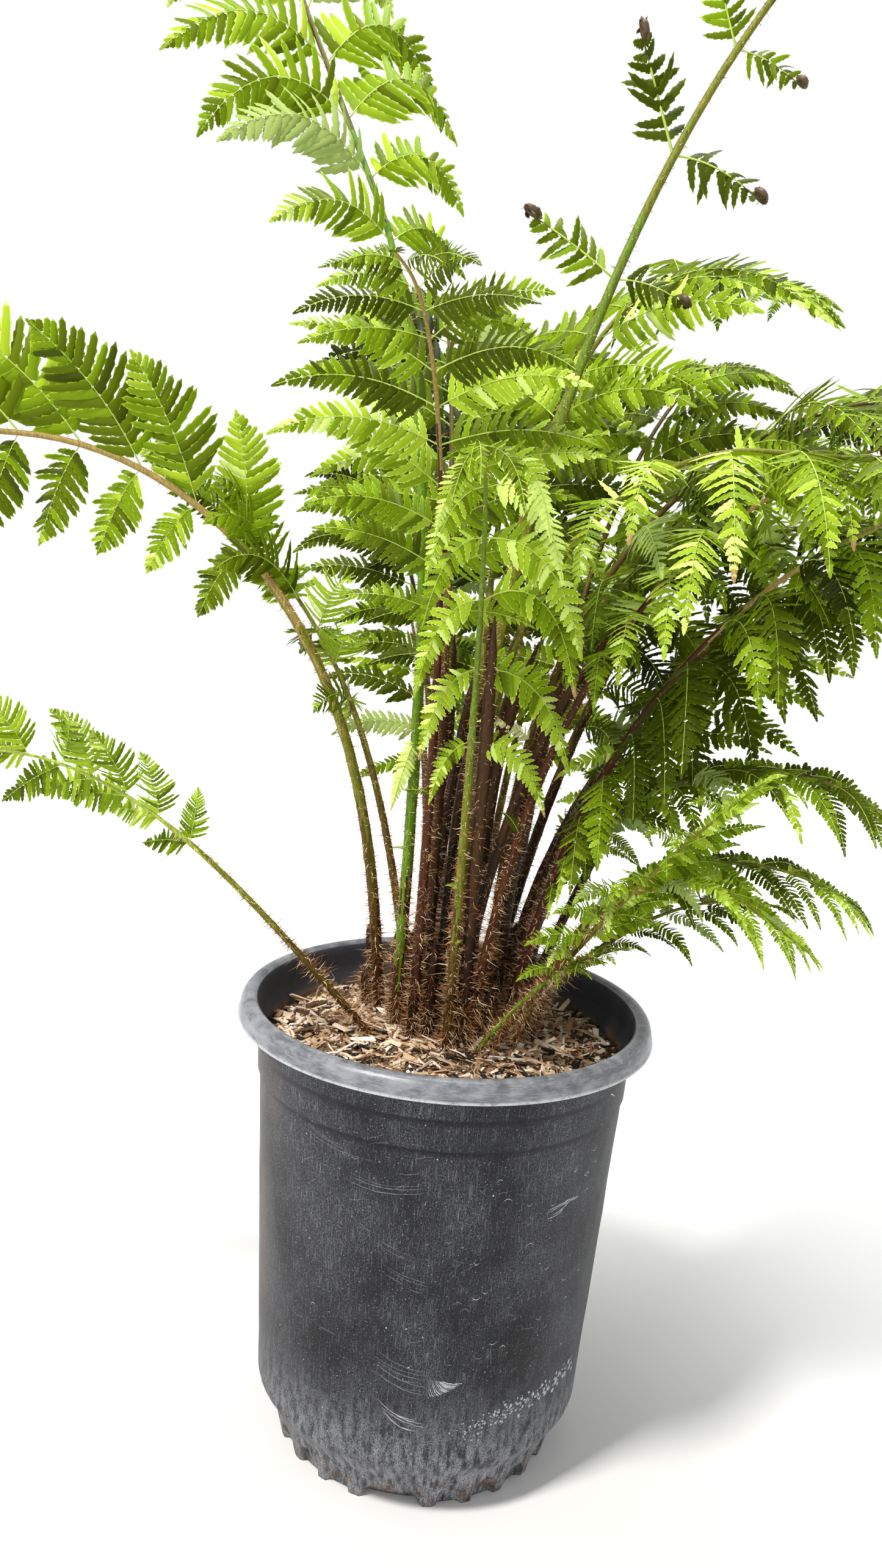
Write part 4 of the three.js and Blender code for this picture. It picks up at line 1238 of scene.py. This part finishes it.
class Pinnae:
    """All leaflets of one frond, as curves that leave its spine by the source's rule."""

    def __init__(self, frond, limbs, random):
        pair, hand, share, place = frond.leaflet_roots()
        centre, forward, side, frond_upper = frond.along(share)
        last = pair == pair[-1]
        self.frond = frond
        self.hand = hand
        self.face = unit(frond_upper * (1 - frond.facing) + FRONT * frond.facing)
        varied = 1 + LENGTH_JITTER * (source_noise(frond.index, pair, hand) - 0.5)
        self.limper = frond.limper * (hand < 0)
        self.length = frond.reach * leaflet_shape(place) * varied * (1 - LIMP_SHORTENING * self.limper)
        self.length = self.length * (YOUNG_LENGTHENING if frond.curl else 1)
        jitter = SPREAD_JITTER * (source_noise(frond.index, pair, hand + 5) - 0.5)
        spread = np.radians(SPREAD_ROOT + (SPREAD_TIP - SPREAD_ROOT) * place + jitter)[:, None]
        self.out = unit(forward * np.cos(spread) + side * (hand[:, None] * np.sin(spread))
                        + forward * frond.swept + frond_upper * RISE
                        + random.normal(0, STRAY, (len(hand), 3)))
        if not frond.curl:
            self.out = np.where(last[:, None], unit(self.out + forward * TIP_FORWARD), self.out)
            self.length = self.length * np.where(last, TIP_LENGTHENING, 1)
        self.out = unit(self.out - FRONT * (self.out @ FRONT)[:, None] * frond.flat)
        self.root = centre + side * (hand * frond.radius(share) * ROOT_OUT)[:, None]
        self.forward = forward
        self.sweep = PINNA_SWEEP * random.uniform(*SWEEP_RANGE, len(hand))
        self.limp = frond.limp * random.uniform(*LIMP_RANGE, len(hand))
        self.twist = np.radians(random.normal(0, PINNA_TWIST / 2, len(hand)))
        self.wave = np.radians(random.uniform(0, 360, len(hand)))
        kept = self.shorten(limbs)
        for key, value in list(vars(self).items()):
            if isinstance(value, np.ndarray):
                setattr(self, key, value[kept])

    def shorten(self, limbs):
        """Shortens each leaflet that would meet another limb, and tells which ones have room."""
        full = self.length.copy()
        kept = np.zeros(len(full), bool)
        for shortened in SHORTENED:
            self.length = np.where(kept, self.length, full * shortened)
            centres = self.frames(np.linspace(0.15, 1, 8))[0]
            gap = np.linalg.norm(centres[:, :, None] - limbs[None, None], axis=-1).min(axis=(1, 2))
            kept |= gap > LIMB_CLEARANCE
        return kept

    def course(self):
        """Points along each leaflet's middle, and the way it runs, its side and its upper face."""
        v = ((np.arange(COURSE_STEPS) + 0.5) / COURSE_STEPS)[None, :, None]
        lift = self.frond.lift * (1 - v / LIFT_ENDS)
        fall = (2 * self.frond.hang * v + self.limp[:, None, None] * v ** 2
                + self.limper[:, None, None] * (LIMPER_AT_ROOT + v))
        way = unit(self.out[:, None] + self.forward[:, None] * (2 * self.sweep[:, None, None] * v)
                   + UP * (np.maximum(lift, 0) - fall))
        across = unit(np.cross(way, np.broadcast_to(self.face[:, None], way.shape)))
        upper = np.cross(across, way)
        if self.frond.curl:
            curled = np.maximum(0, v - FIDDLEHEAD_FROM) / (1 - FIDDLEHEAD_FROM)
            coil = np.radians(FIDDLEHEAD_TURN) * curled ** FIDDLEHEAD_TIGHTENING
            way, upper = turned(way, upper, coil)
        step = way * (self.length / COURSE_STEPS)[:, None, None]
        points = self.root[:, None] + np.concatenate([0 * step[:, :1], np.cumsum(step, axis=1)], axis=1)
        return points, way, across, upper

    def frames(self, shares):
        """Centre, way, blade side and upper face at some shares of each leaflet's length."""
        points, way, across, upper = self.course()
        place = np.round(np.asarray(shares) * COURSE_STEPS - 0.5)
        step = np.clip(place, 0, COURSE_STEPS - 1).astype(int)
        v = np.asarray(shares)[None, :, None]
        wave = np.sin(self.wave[:, None, None] + v * PINNA_WAVES_ALONG) * math.radians(PINNA_WAVE)
        turn = self.twist[:, None, None] * v + wave
        blade = turned(across[:, step], upper[:, step], turn)
        return at_share(points, shares), way[:, step], *blade


class Strays(Pinnae):
    """Single leaflets, each from the foremost bare stalk that runs past the place in its row."""

    def __init__(self, fronds, random):
        roots, ways, lengths, _ = zip(*STRAYS)
        count = len(STRAYS)
        bare = np.concatenate([f.along(np.linspace(0, f.bare, 80))[0] for f in fronds.values()])
        apart = np.abs(bare[None][..., [0, 2]] - np.array(roots, float)[:, None]).max(axis=-1)
        foremost = np.where(apart < STRAY_SEARCH, bare[:, 1], np.inf).argmin(axis=1)
        self.frond = fronds[STRAYS_LIKE]
        self.hand = np.ones(count)
        self.root = bare[foremost] + FRONT * 2
        self.out = unit(np.array(ways, float))
        self.length = np.array(lengths, float)
        self.forward = np.tile(UP, (count, 1))
        self.face = np.tile(FRONT, (count, 1))
        self.sweep = random.uniform(-0.1, 0.1, count)
        self.limp = random.uniform(0, 0.5, count)
        self.limper = np.zeros(count)
        self.twist = np.radians(random.normal(0, PINNA_TWIST, count))
        self.wave = np.radians(random.uniform(0, 360, count))


def pinnule_template(lobes, tail):
    """One pinnule: place along it, place across it from -1 to 1, triangles, and which are its edge.

    It is blunt where the leaflets of the frond have no tail, and pointed where they have one.
    """
    joint = np.arange(lobes + 1) / (lobes + BLUNT_END + (POINTED_END - BLUNT_END) * tail)

    def half(p):
        fullness = BLUNT_POWERS[0] + (POINTED_POWERS[0] - BLUNT_POWERS[0]) * tail
        rounding = BLUNT_POWERS[1] + (POINTED_POWERS[1] - BLUNT_POWERS[1]) * tail
        return np.maximum(0, 1 - p ** fullness) ** rounding

    lobe = joint[:-1] + LOBE_AT * joint[1]
    ways = np.concatenate([joint, joint, lobe, joint, lobe, [1]])
    notch = half(joint) * (1 - NOTCH_DEPTH * np.minimum(1, np.arange(lobes + 1)))
    across = np.concatenate([0 * joint, notch, half(lobe), -notch, -half(lobe), [0]])
    left = lobes + 1
    left_lobe = left + lobes + 1
    right = left_lobe + lobes
    right_lobe = right + lobes + 1
    tip = len(ways) - 1
    triangles = []
    for i in range(lobes):
        triangles += [(i, i + 1, left + i + 1), (i, left + i + 1, left + i),
                      (left + i, left + i + 1, left_lobe + i),
                      (i + 1, i, right + i + 1), (right + i + 1, i, right + i),
                      (right + i + 1, right + i, right_lobe + i)]
    triangles += [(lobes, tip, left + lobes), (tip, lobes, right + lobes)]
    # The edge triangles are the lobes, which add_pinnules paints one tint lighter as a highlight.
    edge = [0, 0, 1, 0, 0, 1] * lobes + [1, 1]
    return ways, across, np.array(triangles), np.array(edge)


def pinnule_lengths(shares, tail):
    """Length of the pinnules along a leaflet that is oblong, or drawn out to a tail.

    An oblong one is half as broad at its root as at 0.38 of its length, and closes late. A tailed
    one is broadest at a tenth of its length, and closes evenly.
    """
    oblong = (0.5 + 0.5 * np.sin(math.pi / 2 * np.minimum(1, shares / 0.38))) * (1 - shares ** 2.6)
    tailed = (0.8 + 0.2 * np.minimum(1, shares / 0.1)) * (1 - shares) ** 0.95
    return oblong + (tailed - oblong) * tail + PINNULE_LEAST


def vary(slots, random):
    """Some pinnules are one tint lighter or darker than the rest of their leaflet."""
    step = random.choice([-1, 0, 1], slots.shape, p=[0.16, 0.62, 0.22])
    plain = (slots > LIGHTEST) & (slots < DEEPEST)
    return np.where(plain, slots + step, slots)


def add_pinnules(heap, pinnae, slots, random):
    """Adds both rows of pinnules of each leaflet, and the small one at its tip."""
    frond = pinnae.frond
    ways, across, triangles, edge = pinnule_template(
        PINNULE_LOBES if frond.facing else BACK_PINNULE_LOBES, frond.tail)
    disorder, slim = (YOUNG_DISORDER, YOUNG_SLIMMING) if frond.curl else (1, 1)
    rank = (np.arange(frond.pinnules) + 0.5) / frond.pinnules
    shares = PINNULE_FIRST + (1 - PINNULE_FIRST) * (1 - (1 - rank) ** PINNULE_CROWDING)
    centre, way, side, upper = pinnae.frames(shares)
    size = (len(pinnae.hand), frond.pinnules)
    breadth = pinnae.length[:, None] * frond.breadth * pinnule_lengths(shares, frond.tail)
    slim = slim * (PINNULE_WIDTH_SHARE - PINNULE_TAIL_SLIMMING * frond.tail)
    width = pinnae.length[:, None] * np.gradient(shares) * slim
    folded = 0
    if frond.curl:
        breadth = breadth * (1 - FIDDLEHEAD_SHRINK * smooth_step((shares - 0.3) / 0.4))
        folded = FIDDLEHEAD_FOLD * smooth_step((shares - 0.4) / 0.35)
    p, q = ways[:, None], across[:, None]
    for hand in (1, -1):
        long = (breadth * random.uniform(0.9, 1.08, size))[..., None, None]
        wide = (width * random.uniform(0.92, 1.04, size))[..., None, None]
        stray = random.normal(0, PINNULE_STRAY * disorder, size)
        spread = np.radians(PINNULE_SPREAD - PINNULE_CLOSING * shares ** 2 + stray)[..., None]
        out = way * np.cos(spread) + side * (hand * np.sin(spread))
        tilt = np.radians(random.normal(0, PINNULE_TILT * disorder, size) - PINNULE_TILT + folded)
        out = turned(out, upper, tilt[..., None])[0]
        blade = unit(np.cross(upper, out))
        roll = np.radians(random.normal(PINNULE_ROLL * hand, PINNULE_TILT * disorder, size))
        blade, normal = turned(blade, np.cross(out, blade), roll[..., None])
        cup = PINNULE_CUP * disorder * random.uniform(0.2, 1.8, size)[..., None, None]
        points = (centre[..., None, :] + out[..., None, :] * (p * long)
                  + blade[..., None, :] * (q * wide)
                  + way[..., None, :] * (PINNULE_SICKLE * p ** 2 * long)
                  - normal[..., None, :] * (cup * p ** 2 * long + PINNULE_FOLD * np.abs(q) * wide))
        varied = vary(slots[:, :-1], random).ravel()[:, None]
        # Painted highlight: the lobes at each pinnule's edge are one tint lighter than its middle.
        lighter = (edge > 0) & (varied > LIGHTEST) & (varied <= DARKEST)
        heap.add_many(points.reshape(-1, len(ways), 3), triangles, varied - lighter)
    centre, way, side, upper = (value[:, 0] for value in pinnae.frames([TIP_PINNULE_AT]))
    long = (pinnae.length * TIP_PINNULE_LENGTH)[:, None, None]
    points = (centre[:, None] + way[:, None] * (p * long) + side[:, None] * (q * long * 0.22)
              - upper[:, None] * (np.abs(q) * long * 0.05))
    heap.add_many(points, triangles[:, ::-1], slots[:, -1])


def tint_slots(frond, pinnae, random):
    """Material slot of each pinnule: a tint for each leaflet, lighter towards its end, and its tip."""
    names = list(TINTS)
    tone = TONES[frond.tone]
    base = random.choice([names.index(n) for n in tone], len(pinnae.hand), p=list(tone.values()))
    pairs = frond.pinnules
    slots = np.repeat(base[:, None], pairs + 1, axis=1)
    lighter = random.integers(pairs // 3, pairs * 2, len(base))
    outer = np.arange(pairs + 1)[None] > lighter[:, None]
    slots = np.where(outer & (slots > LIGHTEST), slots - 1, slots)
    slots[base == names.index("underside")] = names.index("underside")
    if frond.curl:
        slots[:, pairs // 2:] = names.index("young_brown")
    elif frond.tone in ("pale", "sunny"):
        slots[random.random(len(base)) < BROWNED_SHARE, -1] = names.index("tip_brown")
    return slots


def add_midribs(heap, pinnae):
    """Adds the midrib of each leaflet, which swells where a young one is coiled."""
    curled = bool(pinnae.frond.curl)
    v = np.linspace(0, 1, PINNA_STEPS * (3 if curled else 1))
    centre, _, side, upper = pinnae.frames(v)
    thick = np.maximum(COSTA_LEAST, pinnae.length[:, None] * COSTA_RADIUS_SHARE * (1 - 0.8 * v))
    if curled:
        coil = smooth_step((v - FIDDLEHEAD_FROM) / 0.2) * (1 - 0.5 * smooth_step((v - 0.8) / 0.2))
        thick = thick * YOUNG_COSTA + COIL_SWELLING * coil
    points, faces = tubes(centre, side, upper, thick, COSTA_SIDES)
    green = np.arange(len(faces)) < len(faces) * YOUNG_GREEN_SHARE
    heap.add_many(points, faces, green[None].astype(int) if curled else 1)


def leaf_material(name, colour):
    shader = Shader("leaf_" + name, 0.45, 0.08)
    shader.colour(colour)
    shader.bump(shader.noise(shader.spot, 900, 2), 0.0004, 0.35)
    shader.let_light_through(0.2, tuple(min(1, part) for part in lit(colour, 1.25)))
    return shader.material


def rib_material(name, colour):
    shader = Shader("leaflet_rib_" + name, 0.5)
    shader.colour(colour)
    shader.bump(shader.noise(shader.spot, 700), 0.0003, 0.4)
    return shader.material


def make_foliage(fronds):
    materials = [leaf_material(name, colour) for name, colour in TINTS.items()]
    ribs = [rib_material("brown", 0x4E3A1E), rib_material("light", 0xA4B84C)]
    costae = Heap()
    for group, names in GROUPS.items():
        heap = Heap()
        for name in names:
            frond = fronds[name]
            random = np.random.default_rng(SEED + frond.index)
            limbs = np.concatenate([other.points for other in fronds.values() if other is not frond])
            pinnae = Pinnae(frond, limbs, random)
            add_pinnules(heap, pinnae, tint_slots(frond, pinnae, random), random)
            add_midribs(costae, pinnae)
        place(heap.build(group, materials), "leaflets", [name + "_blade" for name in names])
    random = np.random.default_rng(SEED + 4)
    strays = Strays(fronds, random)
    tints = np.array([list(TINTS).index(tint) for _, _, _, tint in STRAYS])
    heap = Heap()
    add_pinnules(heap, strays, np.repeat(tints[:, None], strays.frond.pinnules + 1, axis=1), random)
    add_midribs(costae, strays)
    place(heap.build("stray_leaflets", materials), "leaflets")
    place(costae.build("leaflet_midribs", ribs), "leaflets")


fronds = {name: Frond(i, name) for i, name in enumerate(FRONDS)}
make_stage()
make_lights()
make_camera()
make_pot()
make_pot_marks()
make_mulch()
make_crown()
make_limbs(fronds)
make_foliage(fronds)
bpy.context.scene.view_settings.view_transform = "Standard"
